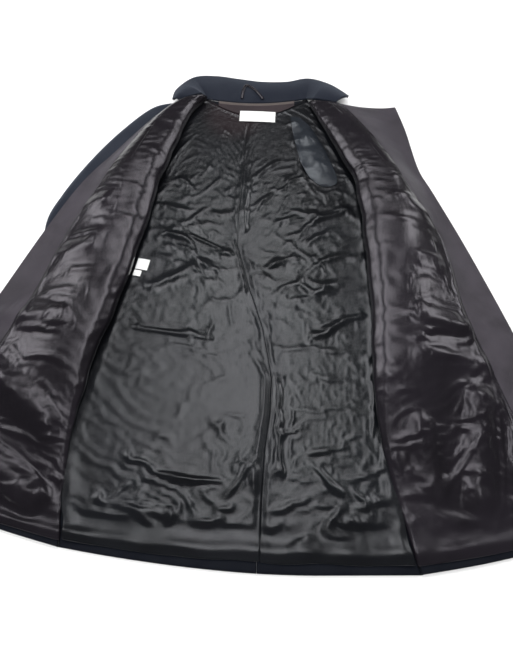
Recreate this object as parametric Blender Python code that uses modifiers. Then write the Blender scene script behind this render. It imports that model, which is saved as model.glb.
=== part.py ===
"""Long jacket lying open on its back, inside up, as one rigid part in metres, +Z up.

The pieces are those that a tailor cuts and sews. Every cloth piece is a grid laid along short
section tables and given its thickness with Solidify. +X is to the right of the photograph, +Y runs
from the hem to the collar, and the origin is at the middle of the underside of the whole part.
"""
import math

import bmesh
import bpy
from mathutils import Vector
from mathutils.bvhtree import BVHTree

MM = 0.001

# Cloth thicknesses and the gap between neighbouring pieces, in millimetres.
WOOL = 2.0
SATIN = 1.0
SEAM_GAP = 0.3
LAYER_GAP = 0.6
WOOL_MID = WOOL / 2
LINING_LIFT = WOOL / 2 + LAYER_GAP + SATIN / 2
LINING_MID = WOOL_MID + LINING_LIFT

# The jacket's length rows and the cells across each cloth.
FRONT_ROWS = 27
LINING_CELLS = 7
FACING_CELLS = 3
BACK_CELLS = 10
WOOL_BACK_CELLS = 4
SLEEVE_ROWS = 13
SLEEVE_CELLS = 6
COLLAR_COLUMNS = 20
COLLAR_CELLS = 4

LINING_HEM = 0.58
HEM_LIFT = WOOL + LAYER_GAP
HEM_END = 1.5
HEM_BACK_END = 3.0
HEM_ROLL_CLEAR = 4.6
NECK_FACING_DEPTH = 30.0
NECK_FACING_HALF = 74.0
NECK_FACING_SPAN = 92.0
NECK_FACING_GAP = 0.7
NECK_FACING_ROWS = 2
NECK_FACING_CELLS = 12
FACING_EDGE_IN = 1.5
HEM_CLIMB = 2

# How far the middle of the back's cloths stops short of the foot of the front's roll.
BACK_CLEAR = 1.6
BACK_LINING_CLEAR = 2.6

# Each front from the neck to the hem. The crease is where the front rolls up off the back, the edge
# is the free front edge, and seam is the share of the width where the lining meets the facing.
# Columns: crease x, crease y, edge x, edge y, roll height, edge height, seam.
LEFT_FRONT = (
    (-98, 908, -156, 889, 27, 14, 0.88),
    (-128, 862, -205, 842, 34, 15, 0.82),
    (-150, 785, -262, 768, 42, 14, 0.74),
    (-176, 690, -318, 694, 44, 12, 0.68),
    (-195, 590, -374, 590, 40, 6, 0.72),
    (-228, 450, -440, 448, 36, 0, 0.69),
    (-258, 340, -492, 336, 30, 0, 0.72),
    (-282, 225, -541, 238, 20, 0, 0.74),
    (-288, 125, -565, 188, 11, 0, 0.75),
    (-283, 36, -581, 148, 9, 0, 0.76),
)
RIGHT_FRONT = (
    (104, 896, 272, 894, 20, 0, 0.30),
    (126, 830, 286, 832, 34, 0, 0.40),
    (160, 740, 301, 737, 44, 0, 0.56),
    (180, 680, 322, 680, 46, 0, 0.58),
    (187, 570, 362, 570, 46, 0, 0.76),
    (190, 430, 408, 430, 42, 0, 0.69),
    (185, 310, 444, 310, 36, 0, 0.73),
    (190, 210, 475, 215, 25, 0, 0.75),
    (208, 110, 504, 130, 13, 0, 0.76),
    (232, -3, 523, 70, 9, 0, 0.76),
)
# The hem of a front hangs below the line between its ends, and the neck dips likewise.
HEM_SAG = 9.0
HEM_SAG_SHARE = 0.2
NECK_DIP = 4.0
NECK_DIP_SHARE = 0.05

# The roll of a front, as shares of its height: distance outward from the crease, and height.
ROLL = (
    (0.35, 0.0), (0.31, 0.0), (0.11, 0.33), (0.0, 0.54), (0.07, 0.76), (0.34, 0.94), (0.76, 1.0),
)
ROLL_FOOT = 4.8
ROLL_LEAST = 9.0
ROLL_END = 1.30
ROLL_STEP = 0.8
LINING_START = 0.8

# Sleeves lie flat under the fronts. Columns: outer x, outer y, inner x, inner y, height.
LEFT_SLEEVE = (
    (-158, 905, -140, 800, 8),
    (-204, 890, -176, 762, 11),
    (-262, 826, -190, 728, 12),
    (-312, 752, -206, 660, 12),
    (-352, 676, -216, 592, 11),
    (-374, 610, -232, 530, 10),
    (-366, 520, -246, 470, 10),
    (-352, 430, -262, 410, 9),
)
RIGHT_SLEEVE = (
    (160, 868, 150, 800, 8),
    (216, 850, 170, 752, 11),
    (256, 780, 180, 690, 12),
    (270, 700, 190, 640, 12),
    (284, 620, 212, 570, 11),
    (300, 540, 214, 500, 10),
    (322, 440, 218, 420, 10),
    (340, 340, 222, 330, 9),
)
SLEEVE_SIDE_GAP = {"left": 1.9, "right": 2.3}
SLEEVE_ROOF_GAP = 2.6
SLEEVE_DOME_POWER = 0.6

# Seam down the middle of the back lining. Columns: y, x.
CENTRE_LINE = (
    (-10, 3), (99, 7), (183, 13), (239, 21), (301, 24), (393, 10), (480, -14),
    (563, -33), (618, -33), (700, -26), (788, -22), (868, -14), (930, -8),
)
BACK_HEM_LOW = -4.0
BACK_HEM_RISE = 38.0
BACK_HEM_TURN = 90.0
BACK_HEM_SPAN = 372.0
BACK_HEM_POWER = 1.8
NECK_Y = 903.0
NECK_RISE = 12.0
NECK_HALF = 98.0
END_BOW_POWER = 6

# Largest folds of the back lining. Columns: start x, start y, end x, end y, height, half width.
BACK_FOLDS = (
    (-20, 845, -30, 600, 7, 20),
    (-176, 405, -66, 385, 9, 24),
    (40, 395, 150, 418, 9, 26),
    (-150, 590, -60, 545, 8, 24),
    (-170, 480, -90, 520, 7, 24),
    (45, 610, 150, 640, 8, 26),
    (30, 520, 120, 470, 7, 26),
    (60, 700, 20, 620, 5, 24),
    (26, 300, 34, 150, 8, 22),
    (-200, 330, -60, 300, 7, 26),
    (70, 330, 160, 280, 7, 26),
    (-190, 170, -80, 120, 8, 24),
    (-230, 110, -120, 70, 7, 22),
    (60, 140, 150, 110, 7, 26),
    (-60, 220, 0, 130, 6, 24),
    (10, 52, 190, 46, 6, 18),
)
# Largest folds of the fronts, raised in the wool and the lining alike, with the same columns.
LEFT_FOLDS = (
    (-300, 205, -440, 330, 12, 34),
    (-330, 110, -450, 205, 14, 34),
    (-240, 560, -330, 520, 6, 28),
    (-215, 650, -290, 625, 6, 24),
    (-320, 400, -420, 420, 7, 32),
    (-500, 200, -480, 300, 6, 30),
)
RIGHT_FOLDS = (
    (250, 400, 330, 385, 8, 26),
    (245, 330, 360, 322, 8, 26),
    (215, 650, 290, 610, 6, 24),
    (330, 110, 345, 260, 13, 32),
    (262, 120, 250, 220, 7, 26),
    (400, 150, 420, 260, 7, 30),
    (225, 520, 300, 500, 5, 24),
)
# Folds fade towards a roll, a front's edge, the back's middle seam, its hem and its neck.
FOLD_CLEAR = 26.0
EDGE_CALM = 6.0
SIDE_CALM = 24.0
SEAM_CALM = 2.0
SEAM_CALM_SPAN = 14.0
HEM_CALM = 60.0
HEM_CALM_SPAN = 18.0
NECK_CALM_Y = 812.0
NECK_CALM_SPAN = 60.0

# Free edge of the collar from its left end to its right end. Columns: x, y, z.
COLLAR_EDGE = (
    (-170, 910, 15), (-158, 930, 18), (-124, 966, 14), (-82, 978, 6), (-36, 970, 4),
    (10, 962, 4), (60, 962, 4), (104, 970, 6), (146, 952, 12), (180, 922, 13),
)
COLLAR_ARCH = 6.0
COLLAR_END_X = 163.0
COLLAR_SEAM_GAP = 0.8
COLLAR_FRONT_GAP = 4.4
COLLAR_LIFT = 0.9
COLLAR_NECK_HALF = 84.0

LABEL_SIZE = (69.0, 27.0)
LABEL_CENTRE = (2.0, 866.0)
LABEL_TURN = -3.0
CARE_SIZE = (21.0, 22.0)
CARE_CENTRE = (-196.0, 520.0)
CARE_TURN = -12.0
SMALL_CARE_SIZE = (13.0, 12.0)
SMALL_CARE_CENTRE = (-203.0, 499.0)
LABEL_LIFT = 0.5

# Hanger loop on the collar. Columns: share along the collar, share across it.
HANGER_PATH = (
    (0.425, 0.10), (0.436, 0.26), (0.450, 0.44), (0.464, 0.58), (0.476, 0.64),
    (0.490, 0.58), (0.510, 0.44), (0.530, 0.26), (0.544, 0.10),
)
HANGER_WIDTH = 4.5
HANGER_THICK = 1.4
HANGER_LIFT = 2.7

# Armhole of the right back, where the sleeve lining shows. Columns: y, inner x, outer x.
ARMHOLE = (
    (866, 62, 84), (842, 66, 102), (812, 71, 116), (780, 76, 128), (748, 82, 138),
    (718, 92, 148), (694, 106, 150),
)
ARMHOLE_PUFF = 5.0
ARMHOLE_FADE = 60.0
ARMHOLE_CELLS = 5
ARMHOLE_GAP = 0.9


def material(name, colour, roughness):
    finish = bpy.data.materials.new(name)
    finish.use_nodes = True
    shader = finish.node_tree.nodes["Principled BSDF"]
    shader.inputs["Base Color"].default_value = (*colour, 1.0)
    shader.inputs["Roughness"].default_value = roughness
    shader.inputs["Metallic"].default_value = 0.0
    return finish


def table_at(table, share):
    """A row of a table at a share from 0 to 1 of its length, on a smooth curve through its rows."""
    place = min(max(share, 0.0), 1.0) * (len(table) - 1)
    first = min(int(place), len(table) - 2)
    t = place - first
    before = table[max(first - 1, 0)]
    here, there = table[first], table[first + 1]
    after = table[min(first + 2, len(table) - 1)]
    row = []
    for a, b, c, d in zip(before, here, there, after):
        slope_b = (c - a) / 2
        slope_c = (d - b) / 2
        rise = c - b
        row.append(b + slope_b * t + (3 * rise - 2 * slope_b - slope_c) * t * t
                   + (slope_b + slope_c - 2 * rise) * t ** 3)
    return row


def line_at(table, y):
    """The second column of a table at the place where its first column is y, in straight runs."""
    for (y0, x0), (y1, x1) in zip(table, table[1:]):
        if y <= y1 or (y1, x1) == table[-1]:
            return x0 + (x1 - x0) * (y - y0) / (y1 - y0)


def ease(value):
    value = min(max(value, 0.0), 1.0)
    return value * value * (3 - 2 * value)


def fold_height(folds, x, y):
    """The height that the soft ridges of a fold table give the cloth at x, y."""
    height = 0.0
    for x0, y0, x1, y1, rise, half in folds:
        run_x, run_y = x1 - x0, y1 - y0
        along = ((x - x0) * run_x + (y - y0) * run_y) / (run_x ** 2 + run_y ** 2)
        along = min(max(along, 0.0), 1.0)
        away = math.hypot(x - x0 - along * run_x, y - y0 - along * run_y) / half
        if away < 1:
            height = max(height, rise * (0.5 + 0.5 * math.cos(math.pi * away)))
    return height


def front_row(table, folds, share):
    """The points of one wool front across its width, from the side seam to the front edge."""
    crease_x, crease_y, edge_x, edge_y, roll, edge_height, seam = table_at(table, share)
    roll = max(roll, ROLL_LEAST)
    edge_height = max(edge_height, 0.0)
    width = math.hypot(edge_x - crease_x, edge_y - crease_y)
    out_x, out_y = (edge_x - crease_x) / width, (edge_y - crease_y) / width
    sag = HEM_SAG * ease((share - 1 + HEM_SAG_SHARE) / HEM_SAG_SHARE)
    sag += NECK_DIP * ease(1 - share / NECK_DIP_SHARE)
    sections = []
    for step, (away, up) in enumerate(ROLL):
        foot = ROLL_FOOT + (step - 1) * ROLL_STEP if step else 0.0
        sections.append((away * roll, max(up * roll, foot)))
    start = ROLL_END * roll
    turn = seam * width
    for step in range(LINING_CELLS + 1):
        sections.append((start + (turn - start) * step / LINING_CELLS, None))
    for step in range(1, FACING_CELLS + 1):
        sections.append((turn + (width - turn) * step / FACING_CELLS, None))
    points = []
    for away, up in sections:
        x, y = crease_x + out_x * away, crease_y + out_y * away
        t = away / width
        if up is None:
            fall = ease((away - start) / (width - start))
            up = edge_height + (roll - edge_height) * (1 - fall)
            calm = ease((away - start) / FOLD_CLEAR) * ease((1 - t) * EDGE_CALM)
            up += fold_height(folds, x, y) * calm
        y -= sag * math.sin(math.pi * min(max(t, 0.0), 1.0))
        points.append(Vector((x, y, WOOL_MID + up)))
    return points


def front_grid(table, folds):
    return [front_row(table, folds, row / (FRONT_ROWS - 1)) for row in range(FRONT_ROWS)]


def grid_normals(grid):
    """The upward unit normal at each point of a grid, weighted by the angles of its cells."""
    rows, columns = len(grid), len(grid[0])
    normals = [[Vector((0.0, 0.0, 0.0)) for _ in range(columns)] for _ in range(rows)]
    for i in range(rows - 1):
        for j in range(columns - 1):
            ring = ((i, j), (i, j + 1), (i + 1, j + 1), (i + 1, j))
            corners = [grid[row][column] for row, column in ring]
            face = (corners[2] - corners[0]).cross(corners[3] - corners[1]).normalized()
            for place, (row, column) in enumerate(ring):
                here = corners[place]
                angle = (corners[place - 1] - here).angle(corners[(place + 1) % 4] - here)
                normals[row][column] += face * angle
    side = 1 if sum(line[-1].z for line in normals) > 0 else -1
    return [[normal.normalized() * side for normal in line] for line in normals]


def moved_out(grid, distance):
    """The same cloth, moved along its own upper side."""
    normals = grid_normals(grid)
    return [[point + normal * distance for point, normal in zip(line, sides)]
            for line, sides in zip(grid, normals)]


def columns_of(grid, first, last):
    return [line[first:last + 1] for line in grid]


def drawn_in(grid, side, distance):
    """A grid with one long side pulled back along its own rows by a distance."""
    result = []
    for line in grid:
        line = list(line)
        edge, inner = (0, 1) if side == "first" else (-1, -2)
        line[edge] = line[edge] + (line[inner] - line[edge]).normalized() * distance
        result.append(line)
    return result


def cloth(name, grid, thickness, finish, holder):
    """A closed wall along a grid of points in millimetres."""
    rows, columns = len(grid), len(grid[0])
    mesh = bpy.data.meshes.new(name)
    shape = bmesh.new()
    bmesh.ops.create_grid(shape, x_segments=columns - 1, y_segments=rows - 1, size=1.0)
    shape.verts.ensure_lookup_table()
    ordered = sorted(shape.verts, key=lambda vert: (round(vert.co.y, 4), round(vert.co.x, 4)))
    for place, vert in enumerate(ordered):
        vert.co = grid[place // columns][place % columns] * MM
    bmesh.ops.triangulate(shape, faces=shape.faces, quad_method="FIXED")
    bmesh.ops.recalc_face_normals(shape, faces=shape.faces)
    shape.to_mesh(mesh)
    shape.free()
    mesh.materials.append(finish)
    mesh.shade_smooth()
    piece = bpy.data.objects.new(name, mesh)
    holder.objects.link(piece)
    wall = piece.modifiers.new("Cloth", "SOLIDIFY")
    wall.thickness = thickness * MM
    wall.offset = 0.0
    wall.use_even_offset = False
    return piece


def back_hem(x):
    share = max(0.0, (BACK_HEM_TURN - x) / BACK_HEM_SPAN)
    return BACK_HEM_LOW + BACK_HEM_RISE * share ** BACK_HEM_POWER


def neck_line(x):
    return NECK_Y + NECK_RISE * min(1.0, abs(x) / NECK_HALF) ** 2


def side_points(table):
    """Rows of the side seam on the floor: its point and the way inward from it."""
    feet = [front_row(table, (), row / (FRONT_ROWS - 1))[0] for row in range(FRONT_ROWS)]
    points = []
    for row, foot in enumerate(feet):
        run = feet[min(row + 1, len(feet) - 1)] - feet[max(row - 1, 0)]
        inward = Vector((-run.y, run.x, 0.0)).normalized()
        if inward.x * foot.x > 0:
            inward = -inward
        points.append((foot, inward))
    return points


def side_at(points, y):
    """The x of the side seam at a given y."""
    for (upper, _), (lower, _) in zip(points, points[1:]):
        if y >= lower.y:
            return upper.x + (lower.x - upper.x) * (y - upper.y) / (lower.y - upper.y)
    return points[-1][0].x


def back_grid(side, middle, clear, cells):
    """A back panel from the neck to the hem, between a line down the middle and the side seam."""
    sign = -1 if side[0][0].x < 0 else 1
    grid = []
    for row, (foot, inward) in enumerate(side):
        share = row / (len(side) - 1)
        end = foot + inward * clear
        start_y = neck_line(0) + (back_hem(0) - neck_line(0)) * share
        start_x = middle(start_y) + sign * SEAM_GAP / 2
        line = []
        for cell in range(cells + 1):
            t = cell / cells
            x = start_x + (end.x - start_x) * t
            y = start_y + (end.y - start_y) * t
            y += bow(neck_line, start_x, end.x, t) * (1 - share) ** END_BOW_POWER
            y += bow(back_hem, start_x, end.x, t) * share ** END_BOW_POWER
            line.append(Vector((x, y, WOOL_MID)))
        grid.append(line)
    return grid


def bow(curve, start, end, t):
    """How far a curve lies off the straight line between two of its points."""
    return curve(start + (end - start) * t) - curve(start) - (curve(end) - curve(start)) * t


def side_room(x, y, sides):
    """How far a point of the back lies inside the nearer side seam."""
    return min(x - side_at(sides[0], y), side_at(sides[1], y) - x)


def back_lining_height(x, y, sides):
    """The height of the middle of the back lining over the floor, clear of the turned up hem."""
    room = ease((side_room(x, y, sides) - SIDE_CALM) / FOLD_CLEAR)
    room *= ease((abs(x - line_at(CENTRE_LINE, y)) - SEAM_CALM) / SEAM_CALM_SPAN)
    calm = ease((y - HEM_CALM - back_hem(x)) / HEM_CALM_SPAN)
    calm *= ease((NECK_CALM_Y - y) / NECK_CALM_SPAN)
    return LINING_MID + fold_height(BACK_FOLDS, x, y) * room * calm


def label(name, size, centre, turn, height, finish, holder):
    """A small flat label, thin and square cut, on the cloth below it."""
    bpy.ops.mesh.primitive_cube_add(size=1.0)
    piece = bpy.context.object
    piece.name = name
    piece.data.name = name
    for owner in list(piece.users_collection):
        owner.objects.unlink(piece)
    holder.objects.link(piece)
    piece.scale = (size[0] * MM, size[1] * MM, SATIN * MM)
    piece.rotation_euler = (0.0, 0.0, math.radians(turn))
    piece.location = (centre[0] * MM, centre[1] * MM, height * MM)
    piece.data.materials.append(finish)
    return piece


def sleeve(side, table, roof, seam, wool, holder):
    """The flat under sleeve on the floor and the low top sleeve over it, both below the front."""
    sign = -1 if side == "left" else 1
    wide = len(roof[0])
    faces = [(i * wide + j, i * wide + j + 1, (i + 1) * wide + j + 1, (i + 1) * wide + j)
             for i in range(len(roof) - 1) for j in range(wide - 1)]
    tree = BVHTree.FromPolygons([point for line in roof for point in line], faces)
    base = WOOL_MID + WOOL + SEAM_GAP
    top, under = [], []
    for row in range(SLEEVE_ROWS):
        out_x, out_y, in_x, in_y, height = table_at(table, row / (SLEEVE_ROWS - 1))
        in_x = sign * max(sign * in_x, sign * side_at(seam, in_y) + SLEEVE_SIDE_GAP[side])
        top_line, under_line = [], []
        for cell in range(SLEEVE_CELLS + 1):
            t = cell / SLEEVE_CELLS
            x, y = out_x + (in_x - out_x) * t, out_y + (in_y - out_y) * t
            dome = math.sin(math.pi * t) ** SLEEVE_DOME_POWER if 0 < t < 1 else 0.0
            level = base + (height - WOOL - base) * dome
            above = tree.ray_cast(Vector((x, y, -1.0)), Vector((0, 0, 1)))[0]
            if above:
                level = min(level, max(base, above.z - WOOL - SLEEVE_ROOF_GAP))
            top_line.append(Vector((x, y, level)))
            under_line.append(Vector((x, y, WOOL_MID)))
        top.append(top_line)
        under.append(under_line)
    cloth("sleeve_top_" + side, top, WOOL, wool, holder)
    cloth("sleeve_under_" + side, under, WOOL, wool, holder)


def over_hem(grid, lifts):
    """Lining rows that climb over the turned up hem and stop short of its edge."""
    raised = [list(line) for line in grid]
    normals = grid_normals(grid)
    for row in (-2, -1):
        raised[row] = [point + normal * lift for point, normal, lift
                       in zip(grid[row], normals[row], lifts)]
    raised[-1] = [low.lerp(high, LINING_HEM) for low, high in zip(raised[-1], raised[-2])]
    return raised


def front(side, table, folds, finishes, holder):
    """A wool front, its lining and facing, and the turned up hem between them."""
    wool, satin, facing = finishes
    grid = front_grid(table, folds)
    cloth("front_" + side, grid, WOOL, wool, holder)
    turn = len(ROLL) + LINING_CELLS
    crest = len(ROLL) - 1
    band = columns_of(moved_out(grid, WOOL + LAYER_GAP)[-2:], crest, turn)
    cloth("hem_" + side, drawn_in(drawn_in(band, "last", SEAM_GAP / 2), "first", HEM_END), WOOL,
          wool, holder)
    over = moved_out(grid, LINING_LIFT)
    lifts = [HEM_LIFT * ease((column - crest) / HEM_CLIMB + 1) for column in range(len(grid[0]))]
    lining = columns_of(over_hem(over, lifts), 0, turn)
    for line in lining:
        line[0] = line[0].lerp(line[1], LINING_START)
    cloth("lining_" + side, drawn_in(lining, "last", SEAM_GAP / 2), SATIN, satin, holder)
    strip = columns_of(over, turn, len(grid[0]) - 1)
    cloth("facing_" + side, drawn_in(drawn_in(strip, "first", SEAM_GAP / 2), "last",
                                     FACING_EDGE_IN), SATIN, facing, holder)
    return grid


def backs(sides, finishes, holder):
    """The two wool backs, the turned up back hem, the two back linings and the neck facing."""
    wool, satin, facing = finishes
    necks = []
    for side, points in zip(("left", "right"), sides):
        panel = back_grid(points, lambda y: 0.0, BACK_CLEAR, WOOL_BACK_CELLS)
        cloth("back_" + side, panel, WOOL, wool, holder)
        necks.append(panel[0])
        band = moved_out(panel[-2:], WOOL + LAYER_GAP)
        cloth("hem_back_" + side, drawn_in(band, "last", HEM_BACK_END), WOOL, wool, holder)
        lining = back_grid(points, lambda y: line_at(CENTRE_LINE, y), BACK_LINING_CLEAR, BACK_CELLS)
        for line in lining:
            for point in line:
                point.z = back_lining_height(point.x, point.y, sides)
        lining[0] = [under_facing(point) for point in lining[0]]
        lining = over_hem(lining, [HEM_LIFT] * len(lining[0]))
        lining[-2:] = drawn_in(lining[-2:], "last", HEM_ROLL_CLEAR)
        cloth("lining_back_" + side, lining, SATIN, satin, holder)
    crescent = []
    for row in range(NECK_FACING_ROWS + 1):
        line = []
        for cell in range(NECK_FACING_CELLS + 1):
            x = NECK_FACING_HALF * (2 * cell / NECK_FACING_CELLS - 1)
            low = neck_line(x) - neck_facing_depth(x) + NECK_FACING_GAP
            y = low + (neck_line(x) - low) * row / NECK_FACING_ROWS
            line.append(Vector((x, y, LINING_MID)))
        crescent.append(line)
    cloth("neck_facing", crescent, SATIN, facing, holder)
    return necks


def neck_facing_depth(x):
    return NECK_FACING_DEPTH * max(0.0, 1 - (x / NECK_FACING_SPAN) ** 2)


def under_facing(point):
    """A point of the lining's top edge, moved down to the lower edge of the neck facing."""
    if abs(point.x) > NECK_FACING_SPAN:
        return point
    return Vector((point.x, neck_line(point.x) - neck_facing_depth(point.x), point.z))


def armhole_lining(sides, satin, holder):
    """The sleeve lining that shows at the armhole, lying on the back lining beside the roll."""
    grid = []
    top_y, low_y = ARMHOLE[0][0], ARMHOLE[-1][0]
    for y, inner, outer in ARMHOLE:
        line = []
        for cell in range(ARMHOLE_CELLS + 1):
            t = cell / ARMHOLE_CELLS
            x = inner + (outer - inner) * t
            base = back_lining_height(x, y, sides) + SATIN + ARMHOLE_GAP
            span = ease((top_y - y) / ARMHOLE_FADE) * ease((y - low_y) / ARMHOLE_FADE)
            line.append(Vector((x, y, base + ARMHOLE_PUFF * math.sin(math.pi * t) * span)))
        grid.append(line)
    cloth("armhole_lining_right", grid, SATIN, satin, holder)


def collar_seam(fronts, necks):
    """The line that the collar is sewn to: left front, back neck and right front, in turn."""
    crest = len(ROLL) - 2
    left = fronts[0][0][crest:len(ROLL) + LINING_CELLS][::-1]
    right = [point for point in fronts[1][0][crest:] if point.x < COLLAR_END_X]
    on_front = Vector((0.0, COLLAR_FRONT_GAP, COLLAR_LIFT))
    middle = []
    for point in necks[0][::-1] + necks[1]:
        if abs(point.x) < COLLAR_NECK_HALF:
            y = max(neck_line(point.x), point.y) + COLLAR_SEAM_GAP
            middle.append(Vector((point.x, y, LINING_MID + COLLAR_LIFT)))
    return [point + on_front for point in left] + middle + [point + on_front for point in right]


def along_line(points, share):
    """The point at a share of the length of a line of points."""
    lengths = [(b - a).length for a, b in zip(points, points[1:])]
    rest = share * sum(lengths)
    for start, end, length in zip(points, points[1:], lengths):
        if rest <= length:
            return start.lerp(end, rest / length)
        rest -= length
    return points[-1]


def collar_point(seam, along, across):
    """The middle of the top collar at shares along and across it."""
    point = along_line(seam, along).lerp(Vector(table_at(COLLAR_EDGE, along)), across)
    point.z += COLLAR_ARCH * math.sin(math.pi * across)
    return point


def collars(seam, wool, satin, holder):
    """The top collar, the under collar below it, and the hanger loop on it."""
    grid = []
    for cell in range(COLLAR_CELLS + 1):
        across = cell / COLLAR_CELLS
        grid.append([collar_point(seam, column / (COLLAR_COLUMNS - 1), across)
                     for column in range(COLLAR_COLUMNS)])
    cloth("collar", grid, WOOL, wool, holder)
    cloth("under_collar", moved_out(grid, -(WOOL + LAYER_GAP)), WOOL, wool, holder)
    path = [collar_point(seam, along, across) for along, across in HANGER_PATH]
    strip = []
    for place, point in enumerate(path):
        run = path[min(place + 1, len(path) - 1)] - path[max(place - 1, 0)]
        side = Vector((run.y, -run.x, 0.0)).normalized() * HANGER_WIDTH / 2
        lift = Vector((0.0, 0.0, HANGER_LIFT))
        strip.append([point - side + lift, point + side + lift])
    cloth("hanger_loop", strip, HANGER_THICK, satin, holder)


def set_on_origin(holder):
    """Move the whole part so that the origin is at the middle of its underside."""
    bpy.context.view_layer.update()
    graph = bpy.context.evaluated_depsgraph_get()
    corners = [piece.matrix_world @ Vector(corner) for piece in holder.objects
               for corner in piece.evaluated_get(graph).bound_box]
    low = Vector(map(min, zip(*corners)))
    high = Vector(map(max, zip(*corners)))
    shift = Vector((-(low.x + high.x) / 2, -(low.y + high.y) / 2, -low.z))
    for piece in holder.objects:
        piece.location += shift
    bpy.context.view_layer.update()


def build():
    for item in list(bpy.data.objects):
        bpy.data.objects.remove(item, do_unlink=True)
    holder = bpy.data.collections.new("long_jacket")
    bpy.context.scene.collection.children.link(holder)
    wool = material("wool", (0.012, 0.014, 0.019), 0.9)
    satin = material("satin_lining", (0.018, 0.015, 0.016), 0.32)
    facing = material("facing_cloth", (0.02, 0.016, 0.016), 0.6)
    tape = material("label_tape", (0.85, 0.85, 0.83), 0.7)
    finishes = (wool, satin, facing)
    sides = (side_points(LEFT_FRONT), side_points(RIGHT_FRONT))
    necks = backs(sides, finishes, holder)
    left = front("left", LEFT_FRONT, LEFT_FOLDS, finishes, holder)
    right = front("right", RIGHT_FRONT, RIGHT_FOLDS, finishes, holder)
    sleeve("left", LEFT_SLEEVE, left, sides[0], wool, holder)
    sleeve("right", RIGHT_SLEEVE, right, sides[1], wool, holder)
    armhole_lining(sides, satin, holder)
    collars(collar_seam((left, right), necks), wool, satin, holder)
    cloth_top = LINING_MID + SATIN / 2 + SEAM_GAP + SATIN / 2
    label("neck_label", LABEL_SIZE, LABEL_CENTRE, LABEL_TURN, cloth_top + LABEL_LIFT, tape, holder)
    label("care_label", CARE_SIZE, CARE_CENTRE, CARE_TURN, cloth_top + LABEL_LIFT, tape, holder)
    label("care_label_small", SMALL_CARE_SIZE, SMALL_CARE_CENTRE, CARE_TURN, cloth_top + LABEL_LIFT,
          tape, holder)
    set_on_origin(holder)


build()
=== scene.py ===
"""Looks of a long jacket lying open on its back, inside up, as a Blender add-on run as a script.

Sizes in the tables are millimetres on the plan of the opened jacket: x to the right, y from near
the lowest point of the hem to the collar, z up from the floor. PLAN_ORIGIN sets the plan on the
part. Left and right are those of the picture.
"""
import math

import bmesh
import bpy
import numpy as np
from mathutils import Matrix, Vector, noise
from mathutils.bvhtree import BVHTree


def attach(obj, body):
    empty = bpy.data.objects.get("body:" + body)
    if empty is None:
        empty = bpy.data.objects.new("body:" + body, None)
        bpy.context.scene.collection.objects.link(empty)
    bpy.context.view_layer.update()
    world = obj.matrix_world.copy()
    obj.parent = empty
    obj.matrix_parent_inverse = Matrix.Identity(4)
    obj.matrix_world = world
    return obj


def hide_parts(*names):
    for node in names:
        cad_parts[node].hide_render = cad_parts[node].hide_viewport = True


bl_info = {
    "name": "Long jacket lying open",
    "version": (1, 0, 0),
    "blender": (4, 5, 0),
    "location": "View3D > Sidebar > Jacket",
    "description": "Builds the cloths, labels and stage of an opened long jacket",
    "category": "Object",
}

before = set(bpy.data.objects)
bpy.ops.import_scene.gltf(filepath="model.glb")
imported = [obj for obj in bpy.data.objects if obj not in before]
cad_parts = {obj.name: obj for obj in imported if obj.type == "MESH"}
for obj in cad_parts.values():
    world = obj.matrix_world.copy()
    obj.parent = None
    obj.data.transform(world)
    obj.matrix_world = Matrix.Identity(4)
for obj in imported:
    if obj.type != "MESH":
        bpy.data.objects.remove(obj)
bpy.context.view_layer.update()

MM = 0.001
PLAN_ORIGIN = np.array((0.029, -0.48715, 0.0))
SIDES = ("left", "right")
CRUMPLE_SEED = {"left": 5.3, "right": 9.1}

# The middle of the wool and of the lining over the floor, the steps from the wool's middle to what
# lies on it, and how far a cloth's edge stays back from its neighbour. WOOL_CAD is the wall of the
# solids.
SEAM_GAP = 0.3
WOOL_CAD = 2.0
WOOL_MID = WOOL_CAD / 2
LINING_LIFT = 2.1
LINING_MID = WOOL_MID + LINING_LIFT
HEM_LIFT = 2.6
SLEEVE_LIFT = 2.3
UNDER_COLLAR_LIFT = 2.6
FACING_EDGE_IN = 1.0
HEM_END = 1.5
HEM_BACK_END = 3.0
HEM_ROLL_CLEAR = 4.6

# How far the middle of the back's cloths stops short of the foot of the front's roll.
BACK_CLEAR = 1.6
BACK_LINING_CLEAR = 2.6

# Each front from the neck to the hem. The crease is where it rolls up off the back, the edge is the
# free front edge, and seam is the share of the width where the lining meets the facing.
# Columns: crease x, crease y, edge x, edge y, roll height, edge height, seam.
FRONT = {
    "left": (
        (-98, 908, -156, 889, 27, 14, 0.88),
        (-128, 862, -205, 842, 34, 15, 0.82),
        (-150, 785, -262, 768, 42, 14, 0.74),
        (-176, 690, -318, 694, 44, 12, 0.68),
        (-195, 590, -374, 590, 40, 6, 0.72),
        (-228, 450, -440, 448, 36, 0, 0.69),
        (-258, 340, -492, 336, 30, 0, 0.72),
        (-282, 225, -541, 238, 13, 0, 0.74),
        (-288, 125, -565, 188, 3, 0, 0.75),
        (-283, 36, -581, 148, 2, 0, 0.76),
    ),
    "right": (
        (104, 896, 272, 894, 20, 0, 0.30),
        (126, 830, 286, 832, 34, 0, 0.40),
        (160, 740, 301, 737, 44, 0, 0.56),
        (180, 680, 322, 680, 46, 0, 0.58),
        (187, 570, 362, 570, 46, 0, 0.76),
        (190, 430, 408, 430, 42, 0, 0.69),
        (185, 310, 444, 310, 36, 0, 0.73),
        (190, 210, 475, 215, 17, 0, 0.75),
        (208, 110, 504, 130, 4, 0, 0.76),
        (232, -3, 523, 70, 2, 0, 0.76),
    ),
}
# The hem of a front hangs below the line between its ends over its last rows, and the neck dips
# likewise over its first rows.
HEM_SAG = 9.0
HEM_SAG_SHARE = 0.2
NECK_DIP = {"left": 4.0, "right": 12.0}
NECK_DIP_SHARE = 0.05

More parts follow.
